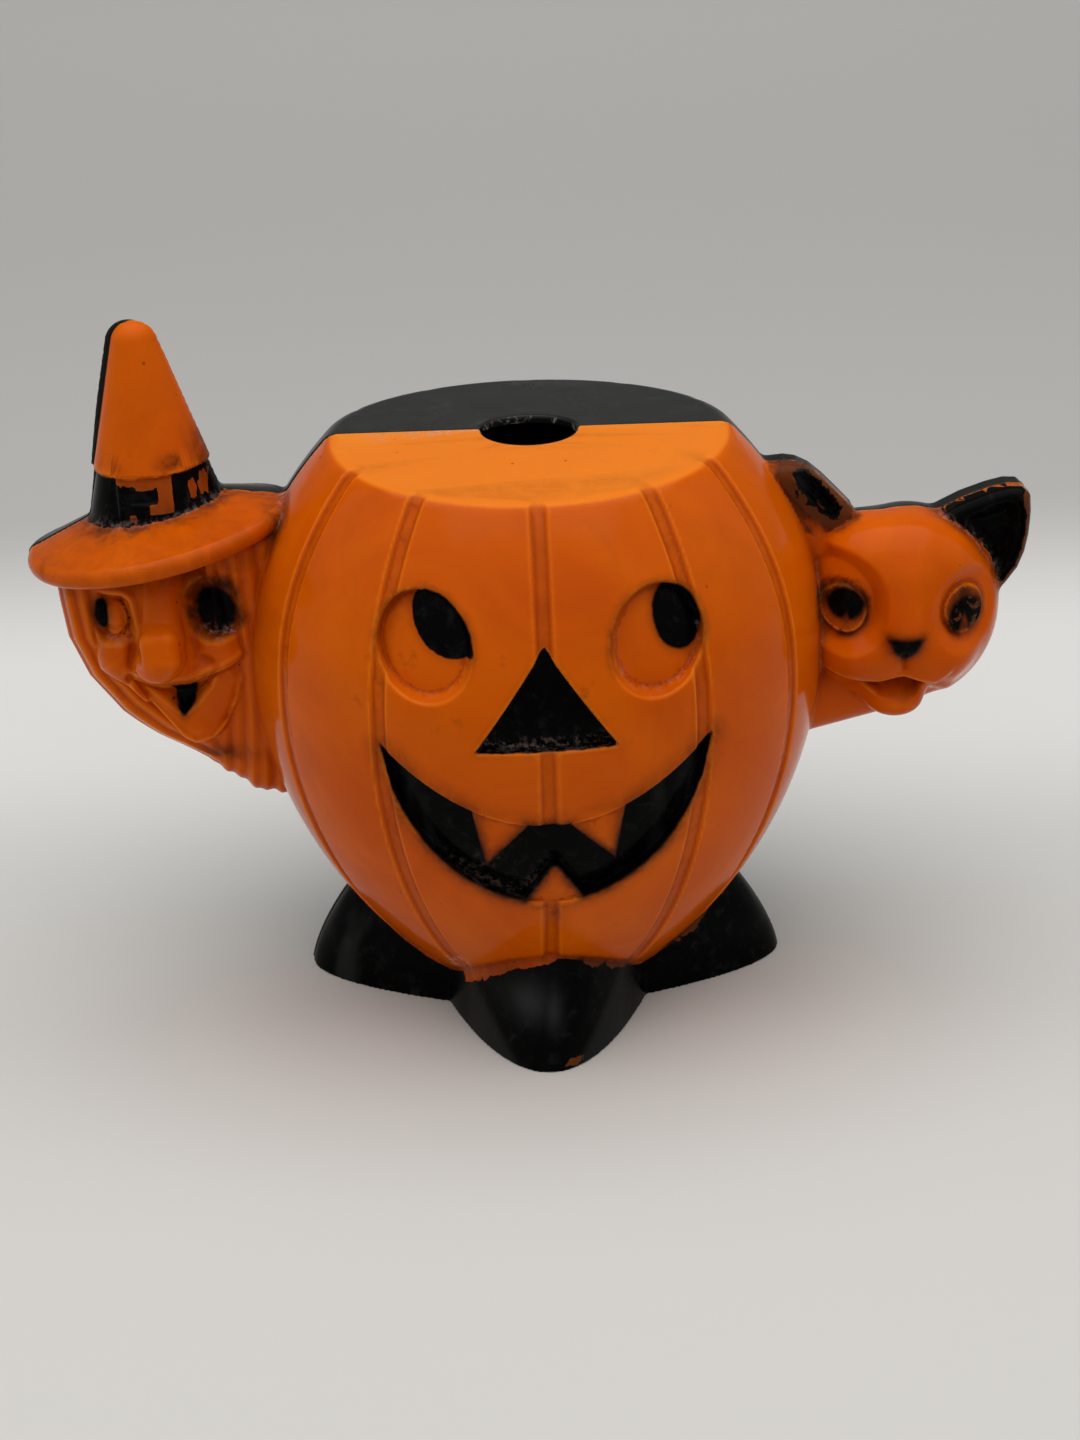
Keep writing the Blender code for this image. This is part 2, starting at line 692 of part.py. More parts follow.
def finish(made, colour, roughness, home):
    """Gives a part its material, smooth shading and collection."""
    material = bpy.data.materials.new(made.name + "_material")
    material.use_nodes = True
    shader = material.node_tree.nodes["Principled BSDF"]
    shader.inputs["Base Color"].default_value = colour
    shader.inputs["Roughness"].default_value = roughness
    shader.inputs["Metallic"].default_value = 0.0
    made.data.materials.clear()
    made.data.materials.append(material)
    made.data.shade_smooth()
    made.data.set_sharp_from_angle(angle=math.radians(35.0))
    bpy.context.scene.collection.objects.unlink(made)
    home.objects.link(made)


def centre_on_origin(parts):
    """Moves the whole container so that the middle of its bounding box stands over the origin."""
    corners = [vertex.co for made in parts for vertex in made.data.vertices]
    x = (min(c.x for c in corners) + max(c.x for c in corners)) / 2
    y = (min(c.y for c in corners) + max(c.y for c in corners)) / 2
    for made in parts:
        made.data.transform(Matrix.Translation((-x, -y, 0.0)))


def main():
    for old in list(bpy.data.objects):
        bpy.data.objects.remove(old)
    home = bpy.data.collections.new(NAME)
    bpy.context.scene.collection.children.link(home)
    form = boolean(common_form(), "DIFFERENCE", [floor_block()])
    inside = cavity()
    front = front_shell(form, inside)
    rear = rear_shell(form, inside)
    disc = base_disc()
    bpy.data.objects.remove(form)
    bpy.data.objects.remove(inside)
    finish(front, ORANGE, 0.3, home)
    finish(rear, BLACK, 0.35, home)
    finish(disc, BOARD, 0.8, home)
    centre_on_origin([front, rear, disc])
    for made in (front, rear, disc):
        print(made.name, len(made.data.polygons), "faces")


main()
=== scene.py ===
"""Looks of the halloween candy container: both half shells as fine meshes with their paint, wear and dirt,
and with painted shade, highlights and reflections.

Forms are worked out in millimetres from the pumpkin's upright axis at floor level and meshed from a signed
distance field. +X runs from the witch to the cat and -Y is the front.
"""

import functools
import itertools
import math

import bpy
import numpy as np
from mathutils import Matrix, Vector


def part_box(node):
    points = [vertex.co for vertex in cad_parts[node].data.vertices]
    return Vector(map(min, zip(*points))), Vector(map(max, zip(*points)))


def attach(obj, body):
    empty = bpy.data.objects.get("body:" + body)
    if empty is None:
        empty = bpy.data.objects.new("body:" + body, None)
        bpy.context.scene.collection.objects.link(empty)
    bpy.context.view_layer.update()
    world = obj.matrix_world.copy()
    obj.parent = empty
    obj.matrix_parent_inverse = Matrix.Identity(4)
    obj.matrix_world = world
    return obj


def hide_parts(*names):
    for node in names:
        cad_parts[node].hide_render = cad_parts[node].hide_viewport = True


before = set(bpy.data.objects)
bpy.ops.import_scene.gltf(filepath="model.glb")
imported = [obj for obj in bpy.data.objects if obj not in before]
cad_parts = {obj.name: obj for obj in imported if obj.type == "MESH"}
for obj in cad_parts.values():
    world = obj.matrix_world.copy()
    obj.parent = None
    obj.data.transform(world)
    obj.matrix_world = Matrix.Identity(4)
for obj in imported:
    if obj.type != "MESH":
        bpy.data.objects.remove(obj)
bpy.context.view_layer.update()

MM = 0.001
CELL = 0.42
FACE_BUDGET = 186000

disc_low, disc_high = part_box("base_disc")
AXIS_X = (disc_low.x + disc_high.x) / 2
AXIS_Y = (disc_low.y + disc_high.y) / 2

# Pumpkin
WALL = 1.4
HEAD_WALL = 1.1
TOP_R = 30.0
TOP_Z = 89.8
TOP_SLOPE = math.tan(math.radians(3.0))
BELLY_R = 44.33
BELLY_Z = 56.0
SHOULDER_POWER = 2.3
WAIST_R = 19.5
WAIST_Z = 4.5
BOWL_POWER = 0.88
TOP_HOLE_R = 7.3
GROOVES = (-58.0, -31.5, 1.2, 32.0, 58.0, 120.0, 150.0, 180.0, 210.0, 240.0)
GROOVE_DEPTH = 0.5
HOLE_FOOT_Z = 80.0
HOLE_HEAD_Z = 93.0
BOSS_R = 2.6
BOSS_LENGTH = 7.0
BOSS_INSET = 1.56
BOSS_HEIGHTS = (80.0, 24.0)
SEAM_GAP = 0.04
REAR_SHIFT = 0.18
HAT_SHIFT = 0.9

# Feet
FOOT_TIP_R = 38.2
FOOT_BLUNTNESS = 10.9
FOOT_HEIGHT = 24.0
FOOT_POWER = 1.4
FOOT_WALL_SHARE = 1.15

# Bottom plate and its filling hole
PLATE_Z = 3.0
PLATE_T = 1.4
FILL_HOLE_R = 15.0
FILL_HOLE_FOOT_Z = -2.0
FILL_HOLE_HEAD_Z = 12.0
SEAT_R = 17.3
COLLAR_R = 18.6
COLLAR_Z = 1.5

# Face of the jack-o'-lantern
FACE_X = 0.8
FACE_DEPTH = 2.2
FANG_DEPTH = 0.45
EYES = ((-16.8, 70.2), (16.0, 69.9))
EYE_R = (6.8, 7.6)
EYE_DRAFT = 0.36
NOSE = ((-10.1, 55.8), (10.1, 56.2), (0.0, 70.7))
MOUTH_HALF = 23.7
MOUTH_CORNER_Z = 55.0
LIP_TOP_Z = 43.8
LIP_LOW_Z = 29.2

# Witch
HAIR_LINE = (
    (-73.2, 74.0), (-72.6, 66.2), (-71.9, 60.3), (-69.3, 53.7), (-64.7, 47.5), (-59.5, 42.8),
    (-53.7, 38.7), (-49.4, 35.4), (-45.0, 32.2), (-41.0, 31.2), (-34.0, 31.2),
)
FACE_LINE = [
    (-66.5, 74.0), (-67.2, 66.0), (-67.5, 60.0), (-66.4, 56.8), (-63.0, 54.3), (-60.6, 52.4), (-59.0, 50.0),
    (-57.0, 47.0), (-55.2, 44.2), (-53.4, 42.7), (-51.2, 42.8), (-48.3, 45.2), (-45.9, 49.6), (-44.4, 54.0),
    (-43.4, 59.0), (-43.2, 64.0), (-43.6, 70.0), (-44.0, 74.0),
]
LIP_LINE = [(-61.6, 55.9), (-57.9, 54.8), (-53.0, 54.9), (-49.0, 56.2), (-45.0, 57.8)]
WITCH_JAW = LIP_LINE + [(-43.0, 54.0), (-44.0, 48.0), (-49.0, 41.0), (-55.0, 41.0), (-59.4, 50.0)]
WITCH_GAPE = [
    (-60.0, 54.4), (-57.1, 53.9), (-53.2, 54.1), (-48.9, 55.7), (-49.8, 53.4), (-52.3, 50.6), (-54.3, 48.9),
    (-55.9, 50.5), (-58.2, 53.0),
]
WITCH_THROAT = [(-55.6, 54.2), (-51.9, 54.4), (-52.5, 51.0), (-53.4, 49.8), (-54.4, 48.7), (-55.2, 50.2)]
JAW_LINE = [
    (-61.6, 54.8), (-59.3, 51.4), (-57.1, 48.4), (-54.9, 45.6), (-52.8, 44.3), (-50.0, 44.9), (-47.6, 47.2),
    (-45.8, 51.4), (-44.6, 56.0),
]
HAT_X = -56.6
HAT_WALL = 1.8
HAT_RISE = 3.4
HAT_SLOPE = 0.285
HAT_TIP_Z = 25.62
HAT_TIP_R = 3.55
HAT_FOOT_Z = -6.0
HAT_TILT = -3.1
BRIM_Z = 75.8
BRIM_R = 20.8
BRIM_HALF_T = 1.55
BRIM_SLOPE = 0.30
BRIM_REAR_SHARE = 0.58
BRIM_TILT = -10.4
BAND_H = 7.5


def least(*fields):
    """The least of some fields."""
    return functools.reduce(np.minimum, fields)


def most(*fields):
    """The greatest of some fields."""
    return functools.reduce(np.maximum, fields)


def smooth_min(a, b, k):
    """The lesser of two fields, with a fillet of about k."""
    h = np.clip(0.5 + 0.5 * (b - a) / k, 0.0, 1.0)
    return b * (1 - h) + a * h - k * h * (1 - h)


def smooth_max(a, b, k):
    """The greater of two fields, with a rounding of about k."""
    return -smooth_min(-a, -b, k)


def smooth_step(low, high, value):
    """0 below low, 1 above high, and smooth between them."""
    share = np.clip((value - low) / (high - low), 0.0, 1.0)
    return share * share * (3 - 2 * share)


def turned(a, b, degrees):
    """A pair of coordinates in axes turned by an angle."""
    c, s = math.cos(math.radians(degrees)), math.sin(math.radians(degrees))
    return c * a + s * b, -s * a + c * b


def rounded(a, b, rounding):
    """Distance to a rounded corner, from the distances to its two faces with the rounding added."""
    outside = np.sqrt(most(a, 0) ** 2 + most(b, 0) ** 2)
    return outside + least(most(a, b), 0) - rounding


def band(value, middle, width):
    """1 where a value is at the middle and 0 far off."""
    return np.exp(-(((value - middle) / width) ** 2))


def between(value, low, low_inside, high_inside, high):
    """1 between two inner limits and 0 beyond the outer ones."""
    return smooth_step(low, low_inside, value) * smooth_step(high, high_inside, value)


def masked(p, mask):
    """The points of a mask."""
    return tuple(axis[mask] for axis in p)


def turned_points(p, centre, tilt=0.0, pitch=0.0):
    """Points in the axes of a form that leans about Y by tilt and about X by pitch, in degrees."""
    x, y, z = (p[i] - centre[i] for i in range(3))
    if tilt:
        x, z = turned(x, z, -tilt)
    if pitch:
        y, z = turned(y, z, pitch)
    return x, y, z


def ellipsoid(p, centre, radii, tilt=0.0, pitch=0.0):
    """Distance to an ellipsoid."""
    x, y, z = turned_points(p, centre, tilt, pitch)
    near = np.sqrt((x / radii[0]) ** 2 + (y / radii[1]) ** 2 + (z / radii[2]) ** 2)
    steep = np.sqrt((x / radii[0] ** 2) ** 2 + (y / radii[1] ** 2) ** 2 + (z / radii[2] ** 2) ** 2)
    return near * (near - 1.0) / most(steep, 1e-6)


def rounded_box(p, centre, half, rounding, tilt=0.0, pitch=0.0):
    """Distance to a box with rounded edges."""
    x, y, z = turned_points(p, centre, tilt, pitch)
    a = np.abs(x) - half[0] + rounding
    b = np.abs(y) - half[1] + rounding
    c = np.abs(z) - half[2] + rounding
    outside = np.sqrt(most(a, 0) ** 2 + most(b, 0) ** 2 + most(c, 0) ** 2)
    return outside + least(most(a, b, c), 0) - rounding


def capsule(p, start, end, radius, end_radius=None):
    """Distance to a rod with round ends, whose radius may change along it."""
    end_radius = radius if end_radius is None else end_radius
    run = np.array(end, float) - np.array(start, float)
    share = sum((p[i] - start[i]) * run[i] for i in range(3)) / float(run @ run)
    share = np.clip(share, 0.0, 1.0)
    away = np.sqrt(sum((p[i] - start[i] - share * run[i]) ** 2 for i in range(3)))
    return away - (radius + (end_radius - radius) * share)


def ellipse(u, v, centre, radii, turn=0.0):
    """Distance to an ellipse in a plane."""
    a, b = turned(u - centre[0], v - centre[1], turn)
    near = np.sqrt((a / radii[0]) ** 2 + (b / radii[1]) ** 2)
    steep = np.sqrt((a / radii[0] ** 2) ** 2 + (b / radii[1] ** 2) ** 2)
    return near * (near - 1.0) / most(steep, 1e-6)


def line_distance(u, v, points):
    """Distance to an open line through points in a plane."""
    best = np.full(u.shape, 1e6)
    for (ax, ay), (bx, by) in zip(points[:-1], points[1:]):
        ex, ey = bx - ax, by - ay
        share = np.clip(((u - ax) * ex + (v - ay) * ey) / (ex * ex + ey * ey), 0, 1)
        best = least(best, (u - ax - share * ex) ** 2 + (v - ay - share * ey) ** 2)
    return np.sqrt(best)


def polygon(u, v, points):
    """Signed distance to a closed outline in a plane, negative inside."""
    inside = np.zeros(u.shape, bool)
    for (ax, ay), (bx, by) in zip(points, points[1:] + points[:1]):
        if ay == by:
            continue
        crosses = (ay > v) != (by > v)
        inside ^= crosses & (u < (bx - ax) * (v - ay) / (by - ay) + ax)
    away = line_distance(u, v, list(points) + [points[0]])
    return np.where(inside, -away, away)


def belly_radius(z):
    """The pumpkin's radius at a height."""
    up = np.clip((z - BELLY_Z) / (TOP_Z - BELLY_Z), 0.0, 1.0)
    down = np.clip((BELLY_Z - z) / (BELLY_Z - WAIST_Z), 0.0, 1.0)
    shoulder = TOP_R + (BELLY_R - TOP_R) * (1 - up**SHOULDER_POWER)
    bowl = WAIST_R + (BELLY_R - WAIST_R) * most(1 - down * down, 0.0) ** BOWL_POWER
    return np.where(z >= BELLY_Z, shoulder, bowl)


def pumpkin_side(p):
    """Distance to the pumpkin's round wall."""
    slope = (belly_radius(p[2] + 0.2) - belly_radius(p[2] - 0.2)) / 0.4
    return (np.hypot(p[0], p[1]) - belly_radius(p[2])) / np.sqrt(1 + slope * slope)


def groove_distance(p):
    """Distance along the wall to the nearest groove's middle."""
    azimuth = np.arctan2(p[0], -p[1])
    best = np.full(p[0].shape, 1e3)
    for angle in GROOVES:
        away = (azimuth - math.radians(angle) + math.pi) % (2 * math.pi) - math.pi
        best = least(best, np.abs(away))
    return best * np.hypot(p[0], p[1])


def upper_lip(u):
    """Height of the mouth's upper edge."""
    return LIP_TOP_Z + (MOUTH_CORNER_Z - LIP_TOP_Z) * (u / MOUTH_HALF) ** 2


def lower_lip(u):
    """Height of the mouth's lower edge."""
    share = np.clip(np.abs(u) / MOUTH_HALF, 0.0, 1.0)
    return MOUTH_CORNER_Z - (MOUTH_CORNER_Z - LIP_LOW_Z) * (1 - share**1.9) ** 0.6


def mouth_outline():
    """The whole grin."""
    across = np.linspace(-MOUTH_HALF, MOUTH_HALF, 25)
    outline = [(float(u), float(upper_lip(u))) for u in across]
    back = np.linspace(MOUTH_HALF, -MOUTH_HALF, 35)[1:-1]
    return outline + [(float(u), float(lower_lip(u))) for u in back]


MOUTH = mouth_outline()
FANGS = (
    [(-11.4, 48.0), (-9.4, 35.8), (-2.9, 43.8), (-2.9, 48.0)],
    [(2.9, 48.0), (2.9, 43.8), (9.6, 36.4), (11.4, 48.0)],
    [(-5.4, 27.0), (0.1, 36.5), (1.2, 36.5), (6.6, 27.0)],
)


def face_regions(p):
    """Signed distances to the sunk places of the pumpkin's face, seen from the front."""
    u = p[0] - FACE_X
    v = p[2]
    eyes = least(ellipse(u, v, EYES[0], EYE_R), ellipse(u, v, EYES[1], EYE_R))
    nose = polygon(u, v, list(NOSE))
    mouth = polygon(u, v, MOUTH)
    fangs = least(*(polygon(u, v, fang) for fang in FANGS))
    deep = most(mouth, -fangs)
    return eyes, nose, mouth, deep


def foot_reach(azimuth):
    """How far the feet reach from the axis at the floor."""
    quarter = math.pi / 2
    turn = (azimuth + quarter / 2) % quarter - quarter / 2
    across = most(np.sin(turn) ** 2, 1e-6)
    along = FOOT_BLUNTNESS * np.cos(turn)
    return (np.sqrt(along * along + 4 * FOOT_BLUNTNESS * FOOT_TIP_R * across) - along) / (2 * across)


def foot_radius(azimuth, z, inset):
    """The feet's radius at an azimuth and height."""
    share = np.clip(z / (FOOT_HEIGHT - inset), 0.0, 0.9999)
    swell = (1 - share**FOOT_POWER) ** (1 / FOOT_POWER)
    neck = WAIST_R - inset
    return neck + (foot_reach(azimuth) - inset * FOOT_WALL_SHARE - neck) * swell


def feet(p, inset=0.0):
    """Distance to the four feet."""
    azimuth = np.arctan2(p[1], p[0])
    rho = most(np.hypot(p[0], p[1]), 1.0)
    step = 0.02
    reach = foot_radius(azimuth, p[2], inset)
    rise = (foot_radius(azimuth, p[2] + 0.2, inset) - foot_radius(azimuth, p[2] - 0.2, inset)) / 0.4
    turn = (foot_radius(azimuth + step, p[2], inset) - foot_radius(azimuth - step, p[2], inset)) / (2 * step)
    steep = np.sqrt(1 + np.clip(rise, -6, 6) ** 2 + (turn / rho) ** 2)
    d = (rho - reach) / steep
    return most(d, p[2] - FOOT_HEIGHT + inset)


def hat(p, inset=0.0):
    """Distance to the hat's cone."""
    x, y, z = turned_points(p, (HAT_X, 0.0, BRIM_Z + HAT_RISE), HAT_TILT)
    rho = np.hypot(x, y)
    fall = math.sqrt(1 + HAT_SLOPE * HAT_SLOPE)
    cone = (rho - (HAT_TIP_R * fall + (HAT_TIP_Z - z) * HAT_SLOPE)) / fall
    ball = np.sqrt(rho * rho + (z - HAT_TIP_Z) ** 2) - HAT_TIP_R
    d = np.where(z - HAT_TIP_Z > rho * HAT_SLOPE, ball, cone)
    d = most(d, HAT_FOOT_Z - z) + inset
    return d, x, y, z


def brim(p):
    """Distance to the hat's brim."""
    x, y, z = turned_points(p, (HAT_X, 0.0, BRIM_Z), BRIM_TILT)
    rho = np.hypot(x, np.where(y > 0, y / BRIM_REAR_SHARE, y))
    flat_r = BRIM_R - BRIM_HALF_T
    middle = BRIM_SLOPE * (flat_r - least(rho, flat_r))
    out = most(rho - flat_r, 0.0)
    return np.sqrt(out * out + (z - middle) ** 2) - BRIM_HALF_T


def hair(p):
    """Distance to the hair behind and beside the witch's face, with its strands."""
    outline = list(HAIR_LINE) + [(-34.0, 80.0), (-60.0, 80.0)]
    s = polygon(p[0], p[2], outline)
    rounding = 5.0
    depth = np.abs(p[1]) - 8.0 + 2.5 * smooth_step(47.0, 38.0, p[2]) + rounding
    slab = rounded(s + rounding, depth, rounding)
    column = capsule(p, (-44.6, -6.2, 74.0), (-42.6, -2.0, 40.0), 6.4, 5.2)
    d = smooth_min(slab, smooth_max(column, s + 0.5, 2.0), 2.5)
    u = line_distance(p[0], p[2], HAIR_LINE)
    along = 0.24 * np.cos(2 * math.pi * u / 2.3 + 0.6) * smooth_step(0.3, 1.6, u)
    upright = p[0] + 0.05 * (p[2] - 60.0) + 0.02 * most(60.0 - p[2], 0.0) ** 1.5
    down = 0.15 * np.cos(2 * math.pi * upright / 2.2) + 0.16 * np.cos(2 * math.pi * upright / 5.3 + 1.0)
    share = smooth_step(-54.0, -48.0, p[0])
    d = d - along * (1 - share) - down * share
    above_brim = turned_points(p, (HAT_X, 0.0, BRIM_Z), BRIM_TILT)[2] - 0.5
    return smooth_max(d, above_brim, 0.8)


def boxed(u, v, centre, half, rounding, turn=0.0):
    """Signed distance to a rounded rectangle in a plane."""
    a, b = turned(u - centre[0], v - centre[1], turn)
    return rounded(np.abs(a) - half[0] + rounding, np.abs(b) - half[1] + rounding, rounding)


def mound(u, v, centre, radii):
    """1 in the middle of a soft round mound and 0 far off."""
    return np.exp(-(((u - centre[0]) / radii[0]) ** 2) - ((v - centre[1]) / radii[1]) ** 2)


def ridge(u, v, points, width):
    """1 along a line and 0 far off."""
    return np.exp(-((line_distance(u, v, points) / width) ** 2))


def witch_relief(x, z):
    """How far the features of the witch's face stand out or are sunk."""
    left = boxed(x, z, (-63.7, 65.5), (3.15, 3.4), 1.7, 8)
    right = boxed(x, z, (-47.9, 66.8), (4.1, 4.5), 2.8, 10)
    out = -2.9 * smooth_step(0.5, -1.7, left) - 3.2 * smooth_step(0.5, -2.2, right)
    out += 0.35 * band(left, 0.7, 0.6) + 0.3 * band(right, 0.7, 0.6)
    for centre, radius, rise in (((-63.9, 65.2), 2.6, 2.3), ((-47.9, 66.3), 3.2, 2.2)):
        out += rise * np.sqrt(most(1 - ((x - centre[0]) ** 2 + (z - centre[1]) ** 2) / radius**2, 0))
    out += 1.7 * mound(x, z, (-64.6, 58.4), (3.0, 2.6)) + 1.6 * mound(x, z, (-46.3, 60.3), (3.0, 2.4))
    out -= 1.0 * ridge(x, z, [(-61.0, 62.5), (-61.2, 58.5), (-62.0, 55.6)], 0.8)
    out -= 0.6 * ridge(x, z, [(-51.4, 62.5), (-51.2, 59.5), (-48.6, 57.9)], 0.9)
    out += 0.9 * ridge(x, z, [(u, v + 1.3) for u, v in LIP_LINE], 0.9)
    out -= 1.3 * smooth_step(0.25, -0.7, polygon(x, z, WITCH_JAW))
    out -= 2.4 * smooth_step(0.3, -1.5, polygon(x, z, WITCH_GAPE))
    out += 0.75 * ridge(x, z, JAW_LINE, 0.6)
    out += 1.3 * mound(x, z, (-52.0, 45.8), (2.6, 1.9))
    return out


def witch_face(p):
    """Distance to the witch's face."""
    x, y, z = p
    half = 12.3 - 0.013 * (x + 55.5) ** 2
    half = half - 0.010 * most(58 - z, 0) ** 2 - 0.01 * most(z - 62, 0) ** 2
    d = leaf(p, FACE_LINE, most(half, 6.0), 5.5 - 3.3 * smooth_step(60.0, 54.0, z))
    d = d - witch_relief(x, z) * smooth_step(-4.0, -7.0, y)
    nose = capsule(p, (-56.0, -10.4, 72.0), (-55.9, -14.4, 63.4), 2.7, 3.0)
    bulb = rounded_box(p, (-55.9, -14.6, 61.8), (2.9, 4.9, 3.3), 1.9, -5, -12)
    tip = ellipsoid(p, (-56.7, -14.4, 59.4), (3.7, 4.3, 2.9), -4)
    nose = smooth_min(smooth_min(nose, bulb, 1.8), tip, 1.4)
    wings = least(
        ellipsoid(p, (-59.3, -12.2, 58.3), (1.8, 2.6, 1.5)),
        ellipsoid(p, (-54.0, -12.4, 58.0), (1.7, 2.4, 1.4)),
    )
    return smooth_min(d, smooth_min(nose, wings, 0.8), 1.5)


def witch(p):
    """Distance to the whole witch."""
    d = smooth_min(hair(p), witch_face(p), 0.5)
    front = np.where(p[1] < 0.5, d, 99.0)
    back = smooth_min(hair(p), ellipsoid(p, (-56.5, -1.0, 61.5), (12.4, 13.6, 15.5), -12), 2.0)
    d = np.where(p[1] < 0.0, front, back)
    d = smooth_min(d, brim(p), 0.5)
    cone, x, y, z = hat(p)
    sunk = smooth_step(0.0, 0.35, BAND_H - z)
    buckle = most(np.abs(x + 0.4) - 4.2, np.abs(z - 4.6) - 2.8)
    opening = most(np.abs(x + 0.8) - 1.7, np.abs(z - 4.6) - 0.9)
    relief = smooth_step(0.2, -0.2, most(buckle, -opening)) * (y < 0)
    cone = cone + 0.5 * sunk - 0.28 * relief
    return smooth_min(d, cone, 0.9)


CAT_LIP = [
    (43.6, 53.4), (45.9, 52.4), (49.0, 51.9), (51.8, 51.8), (55.6, 52.8), (58.2, 51.9), (60.4, 51.3),
    (62.0, 52.9), (63.6, 55.4),
]
CAT_CHIN = CAT_LIP + [(68.0, 50.0), (60.0, 41.0), (42.0, 41.0)]
CAT_GAPE = [(48.4, 51.8), (51.8, 51.7), (55.6, 52.7), (60.2, 51.2), (58.0, 48.9), (56.2, 47.6), (52.0, 49.0)]
CAT_NOSE = [(52.8, 59.9), (55.3, 59.7), (57.9, 59.8), (56.8, 57.8), (55.3, 56.3), (53.7, 57.9)]
CAT_EYES = (((46.5, 63.1), (3.45, 3.55)), ((64.6, 62.7), (3.25, 3.5)))


def cat_relief(x, z):
    """How far the features of the cat's face stand out or are sunk."""
    out = -1.4 * smooth_step(0.7, -2.0, ellipse(x, z, (46.2, 64.3), (6.6, 7.3)))
    out -= 0.9 * smooth_step(1.0, -1.6, ellipse(x, z, (65.0, 62.6), (4.7, 5.7)))
    out -= 1.3 * smooth_step(0.2, -0.8, polygon(x, z, CAT_CHIN)) * smooth_step(64.0, 60.5, x)
    out -= 1.9 * smooth_step(0.3, -1.1, polygon(x, z, CAT_GAPE))
    out -= 0.35 * ridge(x, z, [(55.2, 57.2), (55.4, 54.6)], 0.5)
    for centre, radii in CAT_EYES:
        rim = ellipse(x, z, centre, radii)
        out += 0.8 * smooth_step(0.2, -0.2, rim) - 0.14 * smooth_step(-0.2, -0.45, rim)
    return out


def cat_face(p):
    """Distance to the cat's head, without its ears."""
    d = ellipsoid(p, (57.6, 0.0, 59.6), (14.3, 14.6, 15.6), 5)
    d = smooth_min(d, ellipsoid(p, (49.0, -0.5, 59.5), (9.5, 12.6, 15.0), 3), 3.0)
    d = smooth_min(d, ellipsoid(p, (55.4, -6.4, 68.6), (9.6, 6.6, 6.2), 2), 4.0)
    d = smooth_min(d, capsule(p, (55.8, -10.8, 66.0), (55.4, -14.2, 59.8), 3.6, 2.9), 3.0)
    left = ellipsoid(p, (50.8, -9.4, 55.8), (6.8, 6.4, 4.8), 8)
    right = ellipsoid(p, (60.0, -10.0, 55.4), (6.4, 6.0, 4.9), -16)
    d = smooth_min(d, smooth_min(left, right, 1.2), 3.0)
    d = smooth_min(d, ellipsoid(p, (53.8, -6.8, 49.6), (7.6, 6.6, 4.8), 4), 1.6)
    d = d - cat_relief(p[0], p[2]) * smooth_step(-2.0, -6.0, p[1])
    lip = ellipsoid(p, (54.7, -8.6, 47.6), (4.6, 5.0, 2.9), 2)
    d = smooth_min(d, lip, 1.6)
    return smooth_min(d, ellipsoid(p, (55.4, -15.1, 58.9), (3.1, 1.6, 1.6), 0.0, 15), 1.2)


EAR_LEFT = [
    (31.0, 82.0), (34.5, 83.0), (36.6, 83.2), (38.8, 83.4), (40.6, 83.1), (42.6, 82.1), (44.7, 80.3),
    (47.0, 77.9), (49.3, 75.4), (48.5, 70.0), (40.0, 66.0), (31.0, 74.0),
]
EAR_RIGHT = [
    (60.5, 73.6), (63.0, 75.0), (66.0, 76.5), (70.0, 77.9), (72.6, 78.5), (74.6, 78.4), (75.8, 77.3),
    (76.0, 74.6), (75.8, 71.0), (75.3, 68.2), (74.3, 65.6), (72.6, 63.2), (71.0, 61.4), (64.0, 61.0),
]
HOLLOW_LEFT = [
    (39.4, 82.2), (41.2, 82.2), (42.8, 81.0), (44.8, 78.5), (46.6, 76.6), (45.5, 75.5), (44.2, 76.2),
    (42.4, 78.2), (40.5, 80.4),
]
HOLLOW_RIGHT = [
    (65.0, 73.8), (67.4, 75.2), (70.0, 76.3), (72.6, 76.9), (74.0, 76.6), (74.6, 74.8), (74.6, 72.0),
    (74.1, 69.0), (73.2, 66.6), (71.8, 64.2), (70.6, 64.6), (69.4, 67.4), (67.6, 70.6),
]
EAR_TIP = [(75.0, 77.6), (77.5, 76.0), (77.5, 66.0), (72.0, 60.5), (69.5, 64.0), (74.0, 69.0)]


def leaf(p, outline, half, rounding):
    """Distance to a flat leaf with round edges."""
    return rounded(polygon(p[0], p[2], outline) + rounding, np.abs(p[1]) - half + rounding, rounding)


def ears(p):
    """Distance to both ears, cupped in front."""
    d = least(leaf(p, EAR_LEFT, 4.4, 2.0), leaf(p, EAR_RIGHT, 4.2, 1.8))
    for outline in (HOLLOW_LEFT, HOLLOW_RIGHT):
        s = polygon(p[0], p[2], outline)
        floor = 1.2 + 1.8 * smooth_step(0.3, -3.0, s)
        d = smooth_max(d, -most(s, p[1] + 4.4 - floor), 0.5)
    return d


def cat_neck(p):
    """Distance to the stretch that joins the cat's jaw to the pumpkin."""
    d = capsule(p, (38.0, 0.0, 46.0), (56.0, 0.0, 49.5), 8.0, 7.0)
    return smooth_max(d, 37.6 + 0.34 * (p[0] - 43.0) - p[2], 1.5)


def cat(p):
    """Distance to the whole cat."""
    d = smooth_min(cat_face(p), ears(p), 0.8)
    return smooth_min(d, cat_neck(p), 0.8)


def part_where(result, mask, worked, p, k):
    """Joins a form to the result at the points of a mask."""
    if mask.any():
        result[mask] = smooth_min(result[mask], worked(masked(p, mask)), k)


